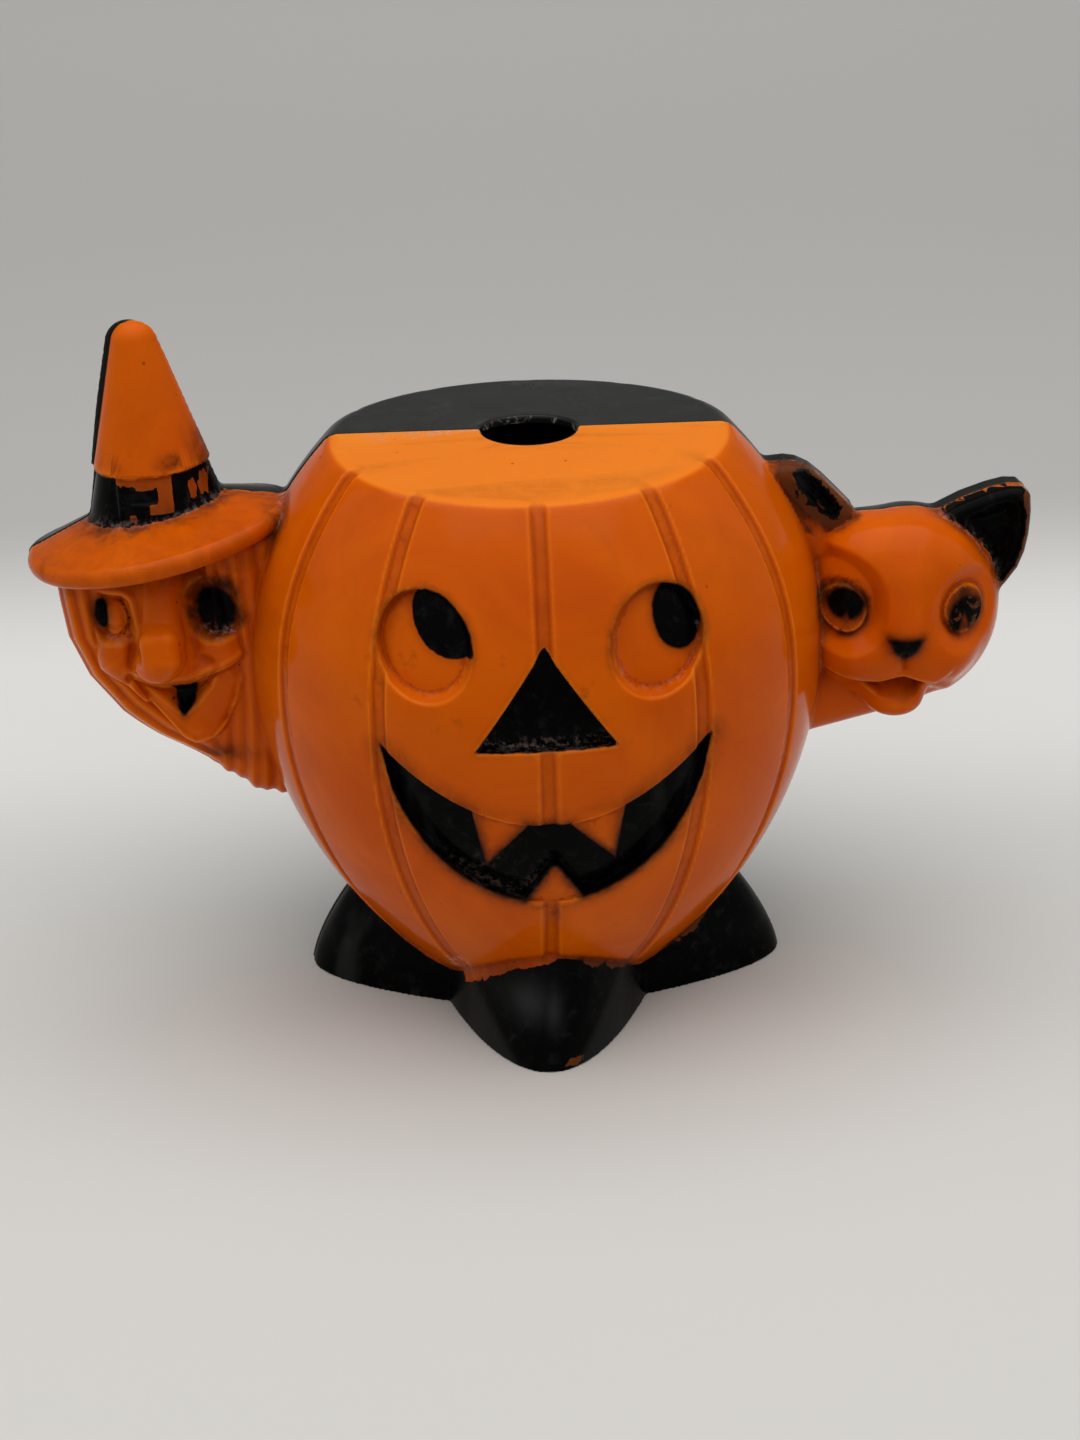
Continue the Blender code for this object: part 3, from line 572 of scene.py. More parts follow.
def body(p):
    """Distance to the pumpkin with its grooves and sunk face."""
    side = pumpkin_side(p)
    groove = GROOVE_DEPTH * smooth_step(1.55, 0.75, groove_distance(p)) * smooth_step(7.0, 13.0, p[2])
    groove = groove * (1 - 0.75 * smooth_step(0.0, 6.0, p[1]) * smooth_step(82.0, 88.0, p[2]))
    top = (p[2] - TOP_Z + np.abs(p[1]) * TOP_SLOPE) / math.sqrt(1 + TOP_SLOPE**2)
    d = smooth_max(side + groove, top, 1.0)
    d = most(d, WAIST_Z - 1.5 - p[2])
    face = (p[1] < -20) & (np.abs(p[0]) < 30) & (p[2] > 24) & (p[2] < 82)
    if face.any():
        eyes, nose, mouth, deep = face_regions(masked(p, face))
        under = side[face]
        groove[face] *= smooth_step(-0.6, 0.2, mouth)
        d[face] = smooth_max(under + groove[face], top[face], 1.0)
        eyes = eyes + EYE_DRAFT * np.clip(-under, 0.0, FACE_DEPTH)
        sunk = least(eyes, nose, deep)
        cut = most(sunk, -(under + FACE_DEPTH))
        shallow = most(mouth, -(under + FANG_DEPTH))
        d[face] = smooth_max(smooth_max(d[face], -shallow, 0.3), -cut, 0.4)
    hole = np.hypot(p[0], p[1]) - TOP_HOLE_R
    return smooth_max(d, -most(hole, HOLE_FOOT_Z - p[2]), 0.6)


def outer(p):
    """Distance to the outside of the whole container."""
    d = body(p)
    part_where(d, p[2] < 27, feet, p, 0.4)
    part_where(d, p[0] < -30, witch, p, 0.8)
    part_where(d, p[0] > 30, cat, p, 0.8)
    return most(d, 0.004 - p[2])


def inner(p, front, skin):
    """Distance to the space inside, for the front or the rear shell. Skin is the distance to the outside."""
    side = pumpkin_side(p)
    top = p[2] - TOP_Z + np.abs(p[1]) * TOP_SLOPE
    d = most(side, top) + WALL
    d = most(d, PLATE_Z + PLATE_T - p[2])
    if front:
        face = (p[1] < -15) & (np.abs(p[0]) < 32) & (p[2] > 22) & (p[2] < 84)
        if face.any():
            eyes, nose, mouth, _ = face_regions(masked(p, face))
            pad = least(eyes, nose, mouth) - WALL
            pad = most(pad, -(side[face] + FACE_DEPTH + WALL))
            d[face] = most(d[face], -pad)
    heads = least(
        ellipsoid(p, (-56.5, -1.0, 60.5), (10.4, 11.4, 13.4), -12),
        ellipsoid(p, (57.6, 0.0, 59.4), (12.4, 12.0, 12.4)),
    )
    throats = least(
        ellipsoid(p, (-45.8, 0.0, 59.0), (12.0, 6.5, 6.5)),
        ellipsoid(p, (45.8, 0.0, 57.0), (12.0, 6.5, 6.5)),
    )
    cone = hat(p, HAT_WALL)[0]
    heads = most(heads, skin + HEAD_WALL)
    d = least(d, heads, throats, cone)
    rho = np.hypot(p[0], p[1])
    low = most(feet(p, WALL), p[2] - PLATE_Z)
    ring = most(rho - COLLAR_R, SEAT_R - rho, COLLAR_Z - p[2])
    low = most(low, -ring)
    d = least(d, low)
    d = least(d, most(rho - FILL_HOLE_R, FILL_HOLE_FOOT_Z - p[2], p[2] - FILL_HOLE_HEAD_Z))
    return least(d, most(rho - TOP_HOLE_R, HOLE_FOOT_Z - p[2], p[2] - HOLE_HEAD_Z))


def bosses(p, side):
    """Distance to the posts on the wall at the seam. Side is -1 for the front."""
    d = np.full(p[0].shape, 99.0)
    for z in BOSS_HEIGHTS:
        for hand in (-1, 1):
            x = hand * (float(belly_radius(np.array([z]))[0]) - WALL - BOSS_INSET)
            post = most(np.hypot(p[0] - x, p[2] - z) - BOSS_R, side * p[1] - BOSS_LENGTH)
            d = least(d, most(post, -side * p[1] - 1.0))
    return d


def front_field(p):
    """Distance to the front half shell."""
    skin = outer(p)
    space = most(inner(p, True, skin), -bosses(p, -1))
    d = most(skin, -space)
    return smooth_max(d, p[1] + SEAM_GAP, 0.15)


def rear_field(p):
    """Distance to the rear half shell, which stands a little to the left of the front one."""
    more = (HAT_SHIFT - REAR_SHIFT) * smooth_step(-35.0, -45.0, p[0]) * smooth_step(77.0, 98.0, p[2])
    q = (p[0] + (REAR_SHIFT + more), p[1], p[2])
    skin = outer(q)
    space = most(inner(q, False, skin), -bosses(q, 1))
    d = most(skin, -space)
    return smooth_max(d, SEAM_GAP - p[1], 0.15)


def in_chunks(field, x, y, z, size=400000):
    """Values of a field at many points."""
    out = np.empty(x.shape, np.float32)
    for start in range(0, len(x), size):
        part = slice(start, start + size)
        out[part] = field((x[part].astype(float), y[part].astype(float), z[part].astype(float)))
    return out


def sample(field, low, high, cell):
    """A block of field values, worked out exactly only near the surface."""
    step = 4
    counts = [int(math.ceil((h - l) / cell / step)) * step + 1 for l, h in zip(low, high)]
    axes = [low[i] + cell * np.arange(counts[i]) for i in range(3)]
    coarse_axes = [axis[::step] for axis in axes]
    grid = np.meshgrid(*coarse_axes, indexing="ij")
    coarse = in_chunks(field, *[g.ravel() for g in grid]).reshape(grid[0].shape)
    nearest = [np.rint(np.arange(n) / step).astype(int) for n in counts]
    values = coarse[np.ix_(*nearest)]
    reach = step / 2 * cell * math.sqrt(3) * 1.35 + 0.5
    spots = np.nonzero(np.abs(values) < reach)
    values[spots] = in_chunks(field, *[axes[i][spots[i]] for i in range(3)])
    return values


def surface_net(values, low, cell):
    """Vertices and quads of the surface where a block of values changes sign."""
    inside = values < 0
    shape = np.array(values.shape) - 1
    corner = {}
    for offset in itertools.product((0, 1), repeat=3):
        window = tuple(slice(o, o + n) for o, n in zip(offset, shape))
        corner[offset] = window
    total = sum(inside[corner[o]].astype(np.int8) for o in corner)
    active = (total > 0) & (total < 8)
    cells = np.nonzero(active)
    number = np.full(active.shape, -1, np.int32)
    number[cells] = np.arange(len(cells[0]))
    at = {o: values[tuple(cells[i] + o[i] for i in range(3))].astype(float) for o in corner}
    place = np.zeros((len(cells[0]), 3))
    hits = np.zeros(len(cells[0]))
    for a in corner:
        for axis in range(3):
            if a[axis]:
                continue
            b = tuple(1 if i == axis else a[i] for i in range(3))
            crossed = (at[a] < 0) != (at[b] < 0)
            share = np.where(crossed, at[a] / np.where(crossed, at[a] - at[b], 1.0), 0.0)
            for i in range(3):
                place[:, i] += np.where(crossed, a[i] + (share if i == axis else 0.0), 0.0)
            hits += crossed
    place /= hits[:, None]
    for i in range(3):
        place[:, i] = low[i] + cell * (cells[i] + place[:, i])
    quads = []
    for axis in range(3):
        one, two = [i for i in range(3) if i != axis]
        here = [slice(None)] * 3
        there = [slice(None)] * 3
        here[axis] = slice(0, -1)
        there[axis] = slice(1, None)
        first = inside[tuple(here)]
        second = inside[tuple(there)]
        edge = np.array(np.nonzero(first != second))
        keep = (edge[one] > 0) & (edge[two] > 0) & (edge[one] < shape[one]) & (edge[two] < shape[two])
        edge = edge[:, keep]
        ring = []
        for a, b in ((1, 1), (0, 1), (0, 0), (1, 0)):
            spot = [edge[0].copy(), edge[1].copy(), edge[2].copy()]
            spot[one] = spot[one] - a
            spot[two] = spot[two] - b
            ring.append(number[tuple(spot)])
        quad = np.stack(ring, axis=1)
        outward = first[tuple(edge)]
        if axis == 1:
            outward = ~outward
        quad[~outward] = quad[~outward][:, ::-1]
        quads.append(quad)
    return place, np.concatenate(quads)


def slope_of(field, points, step=0.06):
    """The field's gradient at points."""
    out = np.empty(points.shape)
    for i in range(3):
        up = points.copy()
        down = points.copy()
        up[:, i] += step
        down[:, i] -= step
        out[:, i] = (in_chunks(field, *up.T) - in_chunks(field, *down.T)) / (2 * step)
    return out


def pull(field, points, cell):
    """Moves points onto the field's surface."""
    value = in_chunks(field, *points.T)
    slope = slope_of(field, points)
    steep = most((slope**2).sum(1), 0.05)
    move = slope * (value / steep)[:, None]
    length = np.linalg.norm(move, axis=1)
    move *= least(1.0, 0.5 * cell / most(length, 1e-9))[:, None]
    return points - move


def placed(points):
    """Points in millimetres from the pumpkin's axis as a flat row of coordinates in metres."""
    return (points * MM + np.array([AXIS_X, AXIS_Y, 0.0])).astype(np.float32).ravel()


def mesh_from(name, points, faces):
    """An object from arrays of points in millimetres and faces."""
    mesh = bpy.data.meshes.new(name)
    sides = faces.shape[1]
    mesh.vertices.add(len(points))
    mesh.vertices.foreach_set("co", placed(points))
    mesh.loops.add(faces.size)
    mesh.loops.foreach_set("vertex_index", faces.astype(np.int32).ravel())
    mesh.polygons.add(len(faces))
    mesh.polygons.foreach_set("loop_start", np.arange(0, faces.size, sides, dtype=np.int32))
    mesh.update(calc_edges=True)
    mesh.validate()
    made = bpy.data.objects.new(name, mesh)
    bpy.context.scene.collection.objects.link(made)
    return made


def thinned(made, budget):
    """Takes flat places down to fewer faces."""
    count = len(made.data.polygons) * 2
    if count > budget:
        modifier = made.modifiers.new("thin", "DECIMATE")
        modifier.ratio = budget / count
        modifier.use_collapse_triangulate = True
        shown = made.evaluated_get(bpy.context.evaluated_depsgraph_get())
        mesh = bpy.data.meshes.new_from_object(shown)
        made.modifiers.clear()
        made.data = mesh
    return made


def points_of(made):
    """A mesh's points in millimetres from the pumpkin's axis."""
    co = np.empty(len(made.data.vertices) * 3, np.float32)
    made.data.vertices.foreach_get("co", co)
    return (co.reshape(-1, 3).astype(float) - np.array([AXIS_X, AXIS_Y, 0.0])) / MM


def shaped(name, field, box):
    """A finished shell and its points, from its field and the box round it."""
    low, high = box
    values = sample(field, low, high, CELL)
    points, faces = surface_net(values, low, CELL)
    for _ in range(2):
        points = pull(field, points, CELL)
    made = thinned(mesh_from(name, points, faces), FACE_BUDGET)
    points = pull(field, points_of(made), CELL)
    made.data.vertices.foreach_set("co", placed(points))
    made.data.update()
    made.data.shade_smooth()
    slope = slope_of(field, points, 0.12)
    slope /= most(np.linalg.norm(slope, axis=1), 1e-9)[:, None]
    made.data.normals_split_custom_set_from_vertices([tuple(n) for n in slope.tolist()])
    return made, points


def attribute(made, name, values):
    """Stores one number per point on a mesh."""
    layer = made.data.attributes.new(name, "FLOAT", "POINT")
    layer.data.foreach_set("value", np.asarray(values, np.float32))


def bend_of(field, points, step=0.5):
    """How convex the surface is: above 0 at edges that stand out, below 0 in creases."""
    total = -6.0 * in_chunks(field, *points.T)
    for i in range(3):
        for sign in (-1, 1):
            moved = points.copy()
            moved[:, i] += sign * step
            total += in_chunks(field, *moved.T)
    return total / (step * step)


class Graph:
    """A short way to write a node material."""

    def __init__(self, name):
        self.material = bpy.data.materials.new(name)
        self.material.use_nodes = True
        self.tree = self.material.node_tree
        self.shader = self.tree.nodes["Principled BSDF"]

    def feed(self, socket, value):
        if isinstance(value, bpy.types.NodeSocket):
            self.tree.links.new(value, socket)
        elif value is not None:
            socket.default_value = value

    def node(self, kind, inputs=None, **settings):
        made = self.tree.nodes.new(kind)
        for key, value in settings.items():
            setattr(made, key, value)
        for key, value in (inputs or {}).items():
            self.feed(made.inputs[key], value)
        return made

    def math(self, operation, a, b=0.0, c=0.0):
        return self.node("ShaderNodeMath", {0: a, 1: b, 2: c}, operation=operation).outputs[0]

    def step(self, value, low, high, to_low=0.0, to_high=1.0):
        made = self.node("ShaderNodeMapRange", {0: value, 1: low, 2: high, 3: to_low, 4: to_high})
        made.interpolation_type = "SMOOTHSTEP"
        made.clamp = True
        return made.outputs[0]

    def mix(self, factor, a, b):
        made = self.node("ShaderNodeMix", data_type="RGBA")
        self.feed(made.inputs[0], factor)
        self.feed(made.inputs[6], a)
        self.feed(made.inputs[7], b)
        return made.outputs[2]

    def place(self, stretch=(1, 1, 1), offset=(0, 0, 0)):
        here = self.node("ShaderNodeTexCoord").outputs["Object"]
        inputs = {"Vector": here, "Scale": stretch, "Location": offset}
        return self.node("ShaderNodeMapping", inputs).outputs[0]

    def noise(self, scale, detail=3.0, roughness=0.55, distortion=0.0, stretch=(1, 1, 1), offset=(0, 0, 0)):
        inputs = {"Vector": self.place(stretch, offset), "Scale": scale, "Detail": detail}
        inputs.update({"Roughness": roughness, "Distortion": distortion})
        return self.node("ShaderNodeTexNoise", inputs).outputs[0]

    def spots(self, scale):
        inputs = {"Vector": self.place(), "Scale": scale}
        return self.node("ShaderNodeTexVoronoi", inputs).outputs["Distance"]

    def shade(self, name, value):
        self.feed(self.shader.inputs[name], value)

    def attribute(self, name):
        return self.node("ShaderNodeAttribute", attribute_name=name).outputs["Fac"]

    def bump(self, height, strength, distance, normal=None):
        made = self.node("ShaderNodeBump", {"Height": height, "Strength": strength, "Distance": distance})
        if normal is not None:
            self.feed(made.inputs["Normal"], normal)
        return made.outputs[0]


def front_material():
    """Orange moulded plastic with worn black paint, dirt and specks, painted shade in its creases and
    hollows, painted highlights on its edges and a lighter painted top.
    """
    g = Graph("orange_plastic_painted")
    paint = g.attribute("paint")
    wear = g.attribute("wear")
    spray = g.attribute("spray")
    crumbs = g.attribute("crumbs")
    dirt_and_painted_shade = g.attribute("darkening")
    bend = g.attribute("bend")

    clouds = g.noise(28.0, 4.0, 0.6, 1.2)
    swirls = g.noise(60.0, 5.0, 0.6, 2.0, (1.0, 1.0, 0.35), (3.1, 0.4, 0.7))
    orange = g.mix(g.step(clouds, 0.3, 0.7), (0.56, 0.079, 0.0004, 1), (0.67, 0.114, 0.0006, 1))
    orange = g.mix(g.step(swirls, 0.52, 0.75, 0.0, 0.25), orange, (0.40, 0.070, 0.001, 1))
    # Painted shade: creases and hollows, where the bend attribute falls below 0, are darkened towards deep
    # red.
    sunk = g.step(bend, -1.4, -0.05, 0.5, 0.0)
    orange = g.mix(sunk, orange, (0.36, 0.030, 0.0, 1))
    # Painted highlight: edges that stand out are lightened towards yellow-orange.
    painted_edge_highlight = g.step(bend, 0.3, 2.2, 0.0, 0.5)
    orange = g.mix(painted_edge_highlight, orange, (0.80, 0.22, 0.01, 1))
    # Painted light: the cut top is lightened, as if lit from above.
    orange = g.mix(g.math("MULTIPLY", g.attribute("top"), 0.6), orange, (0.95, 0.27, 0.02, 1))
    # Dirt mixed with painted shade: the attribute read above darkens dirt and overspray, and also creases,
    # hollows and the forehead under the brim as painted shade.
    smeared_dirt_and_shade = g.step(g.noise(330.0, 6.0, 0.68, 0.5, (1.0, 1.0, 0.7), (4.0, 4.0, 1.0)), 0.36, 0.62)
    smeared_dirt_and_shade = g.math("MULTIPLY", dirt_and_painted_shade, g.math("MULTIPLY_ADD", smeared_dirt_and_shade, 0.6, 0.4))
    orange = g.mix(smeared_dirt_and_shade, orange, (0.020, 0.006, 0.0025, 1))

    specks = g.step(g.spots(230.0), 0.035, 0.075, 1.0, 0.0)
    rare = g.step(g.noise(45.0, 2.0, 0.5, 0.0, (1, 1, 1), (5.0, 2.0, 1.0)), 0.58, 0.66)
    specks = g.math("MULTIPLY", specks, rare)
    darkening = g.step(g.noise(210.0, 5.0, 0.65), 0.60, 0.72, 0.0, 0.35)
    darkening = g.math("MULTIPLY", darkening, g.step(clouds, 0.5, 0.66))
    orange = g.mix(g.math("MAXIMUM", specks, darkening), orange, (0.05, 0.012, 0.004, 1))

    fine = g.noise(520.0, 4.0, 0.6)
    rough_edge = g.math("MULTIPLY_ADD", g.math("SUBTRACT", fine, 0.5), 0.55, paint)
    soft = g.math("MULTIPLY_ADD", spray, -0.5, -0.05)
    painted = g.step(rough_edge, soft, g.math("MULTIPLY", soft, -0.5))
    halo = g.step(g.math("MULTIPLY_ADD", g.math("SUBTRACT", fine, 0.5), 0.9, paint), -1.9, 0.15)
    halo = g.math("MULTIPLY", g.math("POWER", halo, 1.8), spray)
    orange = g.mix(g.math("MULTIPLY", halo, 0.9), orange, (0.035, 0.006, 0.002, 1))

    patches = g.noise(330.0, 6.0, 0.62, 0.4)
    bare = g.math("SUBTRACT", g.math("MULTIPLY_ADD", wear, 1.0, patches), 1.0)
    bare = g.step(bare, 0.0, 0.035)
    painted = g.math("MULTIPLY", painted, g.math("SUBTRACT", 1.0, bare))
    stain = g.math("MULTIPLY", g.math("MULTIPLY", bare, spray), g.step(paint, -0.1, 0.2, 0.0, 1.5))
    orange = g.mix(g.math("MULTIPLY", stain, 0.55), orange, (0.11, 0.032, 0.007, 1))

    dust = g.noise(420.0, 6.0, 0.7, 0.3)
    black = g.mix(g.step(dust, 0.5, 0.8), (0.0008, 0.0008, 0.0008, 1), (0.012, 0.012, 0.012, 1))
    greying = g.step(g.noise(75.0, 3.0, 0.5, 0.3, (1.0, 1.0, 0.35), (0.0, 6.0, 2.0)), 0.55, 0.72, 0.0, 0.6)
    # Painted reflection: the attribute read here greys the front foot's flanks like a reflection of the
    # floor, besides rubbed places.
    greying = g.math("MAXIMUM", greying, g.attribute("greying"))
    black = g.mix(greying, black, (0.022, 0.024, 0.024, 1))
    colour = g.mix(painted, orange, black)

    flakes = g.noise(900.0, 5.0, 0.72, 0.2, (1, 1, 1), (1.0, 7.0, 3.0))
    pale = g.math("MULTIPLY", crumbs, g.step(flakes, 0.47, 0.64))
    colour = g.mix(pale, colour, (0.42, 0.30, 0.25, 1))
    g.shade("Base Color", colour)

    rough = g.step(clouds, 0.3, 0.8, 0.10, 0.18)
    rough = g.math("MULTIPLY_ADD", painted, 0.06, rough)
    rough = g.math("MULTIPLY_ADD", pale, 0.4, rough)
    rough = g.math("MULTIPLY_ADD", smeared_dirt_and_shade, 0.25, rough)
    g.shade("Roughness", rough)
    g.shade("Subsurface Weight", g.math("MULTIPLY", g.math("SUBTRACT", 1.0, painted), 0.35))
    g.shade("Subsurface Radius", (1.0, 0.28, 0.06))
    g.shade("Subsurface Scale", 0.0022)
    g.shade("IOR", 1.5)
    g.shade("Specular IOR Level", g.math("MULTIPLY_ADD", painted, -0.03, 0.065))

    waves = g.noise(70.0, 2.0, 0.5)
    normal = g.bump(waves, 0.12, 0.0006)
    normal = g.bump(g.noise(900.0, 4.0, 0.6), 0.10, 0.0001, normal)
    normal = g.bump(painted, 0.5, 0.00005, normal)
    g.shade("Normal", normal)
    return g.material


def rear_material():
    """Black moulded plastic with dust and fine scratches."""
    g = Graph("black_plastic_dusty")
    dust = g.noise(240.0, 6.0, 0.7, 0.3)
    clouds = g.noise(35.0, 3.0, 0.6, 0.8)
    crease = g.attribute("crease")
    colour = g.mix(g.step(dust, 0.52, 0.8), (0.006, 0.0062, 0.006, 1), (0.035, 0.036, 0.034, 1))
    colour = g.mix(g.step(clouds, 0.45, 0.75, 0.0, 0.5), colour, (0.016, 0.017, 0.016, 1))
    flakes = g.noise(520.0, 5.0, 0.7, 0.6)
    pale = g.math("MULTIPLY", crease, g.step(flakes, 0.52, 0.66))
    colour = g.mix(pale, colour, (0.35, 0.32, 0.28, 1))
    g.shade("Base Color", colour)
    rough = g.step(clouds, 0.3, 0.8, 0.24, 0.36)
    g.shade("Roughness", g.math("MULTIPLY_ADD", pale, 0.4, rough))
    g.shade("IOR", 1.5)
    g.shade("Specular IOR Level", 0.2)
    normal = g.bump(g.noise(70.0, 2.0, 0.5), 0.12, 0.0006)
    normal = g.bump(g.noise(900.0, 4.0, 0.6), 0.12, 0.0001, normal)
    g.shade("Normal", normal)
    return g.material


def board_material():
    """Grey-brown pressed board."""
    g = Graph("pressed_board")
    fibres = g.noise(600.0, 6.0, 0.7, 0.5, (1.0, 3.0, 1.0))
    colour = g.mix(fibres, (0.22, 0.16, 0.09, 1), (0.36, 0.28, 0.18, 1))
    g.shade("Base Color", colour)
    g.shade("Roughness", 0.85)
    g.shade("Normal", g.bump(fibres, 0.4, 0.0002))
    return g.material


def wedge(u, v, centre, half_angle):
    """Signed distance to a wedge that opens downwards from its point, negative inside."""
    return turned(np.abs(u - centre[0]), v - centre[1], half_angle)[0]


# Places on the hat's band whose paint is worn off: lowest and highest x, then z, in the hat's axes
BAND_PATCHES = (
    (-4.6, 1.0, 6.4, 7.4),
    (-1.6, 2.0, 5.7, 7.4),
    (1.6, 3.7, 2.4, 7.4),
    (0.2, 3.7, 2.1, 3.6),
    (-2.9, -2.0, 1.2, 2.0),
    (5.8, 6.9, 3.5, 5.3),
    (7.4, 8.4, 3.0, 6.6),
    (6.6, 8.0, 3.0, 4.2),
)


def paint_front(points):
    """Signed distance into the black paint, wear and overspray of the front shell."""
    p = x, y, z = tuple(points.T)
    away = np.full(x.shape, -9.0)
    wear = np.zeros(x.shape)
    spray = np.zeros(x.shape)

    def lay(distance, where, worn=0.0, sprayed=0.0):
        nearer = where & (distance > away)
        away[nearer] = distance[nearer]
        wear[nearer] = np.broadcast_to(worn, x.shape)[nearer]
        spray[nearer] = np.broadcast_to(sprayed, x.shape)[nearer]

    front = (y < -18) & (np.abs(x) < 34) & (np.hypot(x, y) > belly_radius(z) - 2.9)
    eyes, nose, _, deep = face_regions(p)
    side = pumpkin_side(p)
    sunk = smooth_step(-0.25, -0.8, side)
    low_edge = smooth_step(54.0, 40.0, z + 0.28 * np.abs(x - FACE_X))
    outside = 0.25 * low_edge
    lay(-deep + outside - 0.15 + 0.3 * sunk, front, 0.12, 0.35 + 0.65 * low_edge)
    lay(-nose - 0.05 + 0.25 * sunk, front, 0.12, 0.25)
    u, v = x - FACE_X, z
    pupil = least(-ellipse(u, v, (-13.5, 73.5), (5.3, 4.5), -58), 0.2 - eyes)
    lay(pupil, front & (u < 0), 0.1, 0.3)
    pupil = least(-ellipse(u, v, (18.9, 72.2), (4.8, 3.2), -71), 0.2 - eyes)
    lay(pupil, front & (u > 0), 0.3, 0.5)

    low = (z < 24) & (side > -0.8)
    joint = smooth_step(2.6, 0.6, side)
    strip = 1.1 - 0.08 * x
    left_top = np.clip(0.5 - (side - strip) / 1.6, 0.0, 1.0)
    left_top = left_top * smooth_step(3.0, 0.0, x) * smooth_step(-14.0, -12.0, x) * (y < -10)
    right_top = 0.55 * joint * smooth_step(3.0, 6.0, x) * smooth_step(15.0, 12.0, x) * (y < -10)
    sides = 0.52 * smooth_step(2.4, 0.8, side) * smooth_step(17.0, 21.0, x)
    toe = 0.62 * mound(x, z, (3.9, 1.2), (3.4, 1.3)) * (y < -30)
    feet_wear = most(left_top, right_top, sides, toe)
    brown = np.clip(2.0 * most(right_top, sides, toe), 0.0, 0.9)
    on_feet = least(side - 0.3, 2.0, 1.0 - 1.5 * feet(p))
    lay(on_feet, low, feet_wear, most(0.1, brown * (left_top < 0.3)))

    cone, hx, _, hz = hat(p)
    below_top = least(BAND_H - 0.15 - hz, 3.0)
    on_band = (cone > -1.2) & (cone < 0.6) & (brim(p) > 0.12) & (hz < 8)
    patch = np.full(x.shape, 9.0)
    for low_x, high_x, low_z, high_z in BAND_PATCHES:
        box = most(low_x - hx, hx - high_x, low_z - hz, hz - high_z)
        patch = least(patch, box)
    lay(np.where(on_band, below_top, -9.0), x < -40, 0.15 + 0.85 * smooth_step(0.35, -0.35, patch), 0.4)

    witch_front = (x < -42) & (y < -6) & (z < 72) & (z > 44)
    right_eye = least(-ellipse(x, z, (-47.9, 66.4), (2.8, 3.5)), wedge(x, z, (-48.3, 65.4), 9))
    lay(right_eye, witch_front, 0.25, 0.9)
    lay(-ellipse(x, z, (-65.6, 65.4), (1.1, 2.3)), witch_front, 0.3, 0.6)
    lay(-polygon(x, z, WITCH_THROAT), witch_front, 0.1, 0.5)

    cat_front = (x > 40) & (y < -8) & (z < 70) & (z > 50)
    eye = least(-ellipse(x, z, (46.8, 63.9), (2.5, 2.2)), wedge(x, z, (46.9, 62.8), 24))
    lay(eye, cat_front, 0.3, 0.9)
    eye = least(-ellipse(x, z, (64.9, 61.7), (2.6, 2.7)), wedge(x, z, (64.6, 62.6), 20))
    lay(eye, cat_front, 0.5, 0.9)
    lay(-polygon(x, z, CAT_NOSE), cat_front, 0.38, 0.9)

    on_ear = (x > 36) & (z > 60) & (y < -0.3) & (cat_face(p) > 0.3)
    right = polygon(x, z, HOLLOW_RIGHT)
    edge = polygon(x, z, EAR_TIP)
    right_wear = (0.1 + 0.5 * smooth_step(0.0, 0.6, right)) * smooth_step(-0.9, -0.3, -edge)
    lay(most(2.6 - right, 0.2 - edge), on_ear & (x > 58), right_wear, 0.9)
    left = polygon(x, z, HOLLOW_LEFT)
    left_wear = 0.2 + 0.5 * np.clip((left + 1.4) / 2.8, 0.0, 1.0)
    lay(2.0 - left, on_ear & (x < 52) & (side > 0.2), left_wear, 0.8)
    return away, wear, spray


def near_all(width, *distances):
    """1 where every distance is 0 or less, and 0 away from there."""
    return np.exp(-sum(most(d, 0) ** 2 for d in distances) / width**2)


def crumbs_of(points):
    """Where pale crumbs have gathered on the front shell."""
    p = x, y, z = tuple(points.T)
    side = pumpkin_side(p)
    cone = hat(p)[0]
    eyes, nose, _, deep = face_regions(p)
    front = (y < -18) & (np.abs(x) < 34)
    on_witch = (y < -8) & (x < -40)
    corner = band(eyes, -0.75, 0.3)
    places = [
        0.6 * near_all(0.7, brim(p), side) * (x < -30),
        0.3 * near_all(0.7, brim(p), cone + 0.5) * (x < -30),
        0.8 * near_all(0.7, cat_face(p), side) * (x > 30) * smooth_step(68.0, 75.0, z),
        0.35 * near_all(0.5, cat_face(p), side) * (x > 30),
        0.3 * near_all(0.7, ears(p), cat_face(p)) * (x > 60),
        0.8 * ridge(x, z, [(-49.8, 63.2), (-47.6, 62.5), (-45.0, 63.3)], 0.6) * on_witch,
        0.6 * ridge(x, z, [(-61.4, 62.4), (-64.4, 62.0)], 0.5) * on_witch,
        0.08 * corner * smooth_step(69.0, 64.5, z) * (x < 8) * front,
        0.25 * corner * smooth_step(76.0, 68.0, z) * (x > 8) * front,
        0.4 * band(nose, -0.7, 0.6) * smooth_step(58.5, 56.5, z) * front,
        0.22 * band(deep, -0.6, 0.6) * smooth_step(40.0, 34.0, z) * smooth_step(2.0, -3.0, x) * front,
        near_all(0.55, np.abs(y) - 0.35) * between(x, -12.6, -11.2, -8.2, -7.0) * (z > 88),
        0.9 * near_all(0.9, np.hypot(x + 13.6, z - 11.0) - 1.2) * (y < -10),
    ]
    return most(*places)


# Dark spots on the witch round her sunk eye sockets and under her chin, overspray mixed with painted shade:
# strength, middle and radii along x and z
WITCH_SPRAY_AND_SHADE = (
    (0.9, (-50.3, 69.6), (1.5, 2.2)),
    (0.8, (-46.9, 71.2), (3.2, 1.0)),
    (0.9, (-51.0, 65.6), (0.9, 2.6)),
    (0.7, (-66.2, 65.0), (1.2, 3.6)),
    (0.7, (-61.0, 65.0), (0.7, 2.6)),
    (0.8, (-48.6, 40.6), (4.6, 1.8)),
)


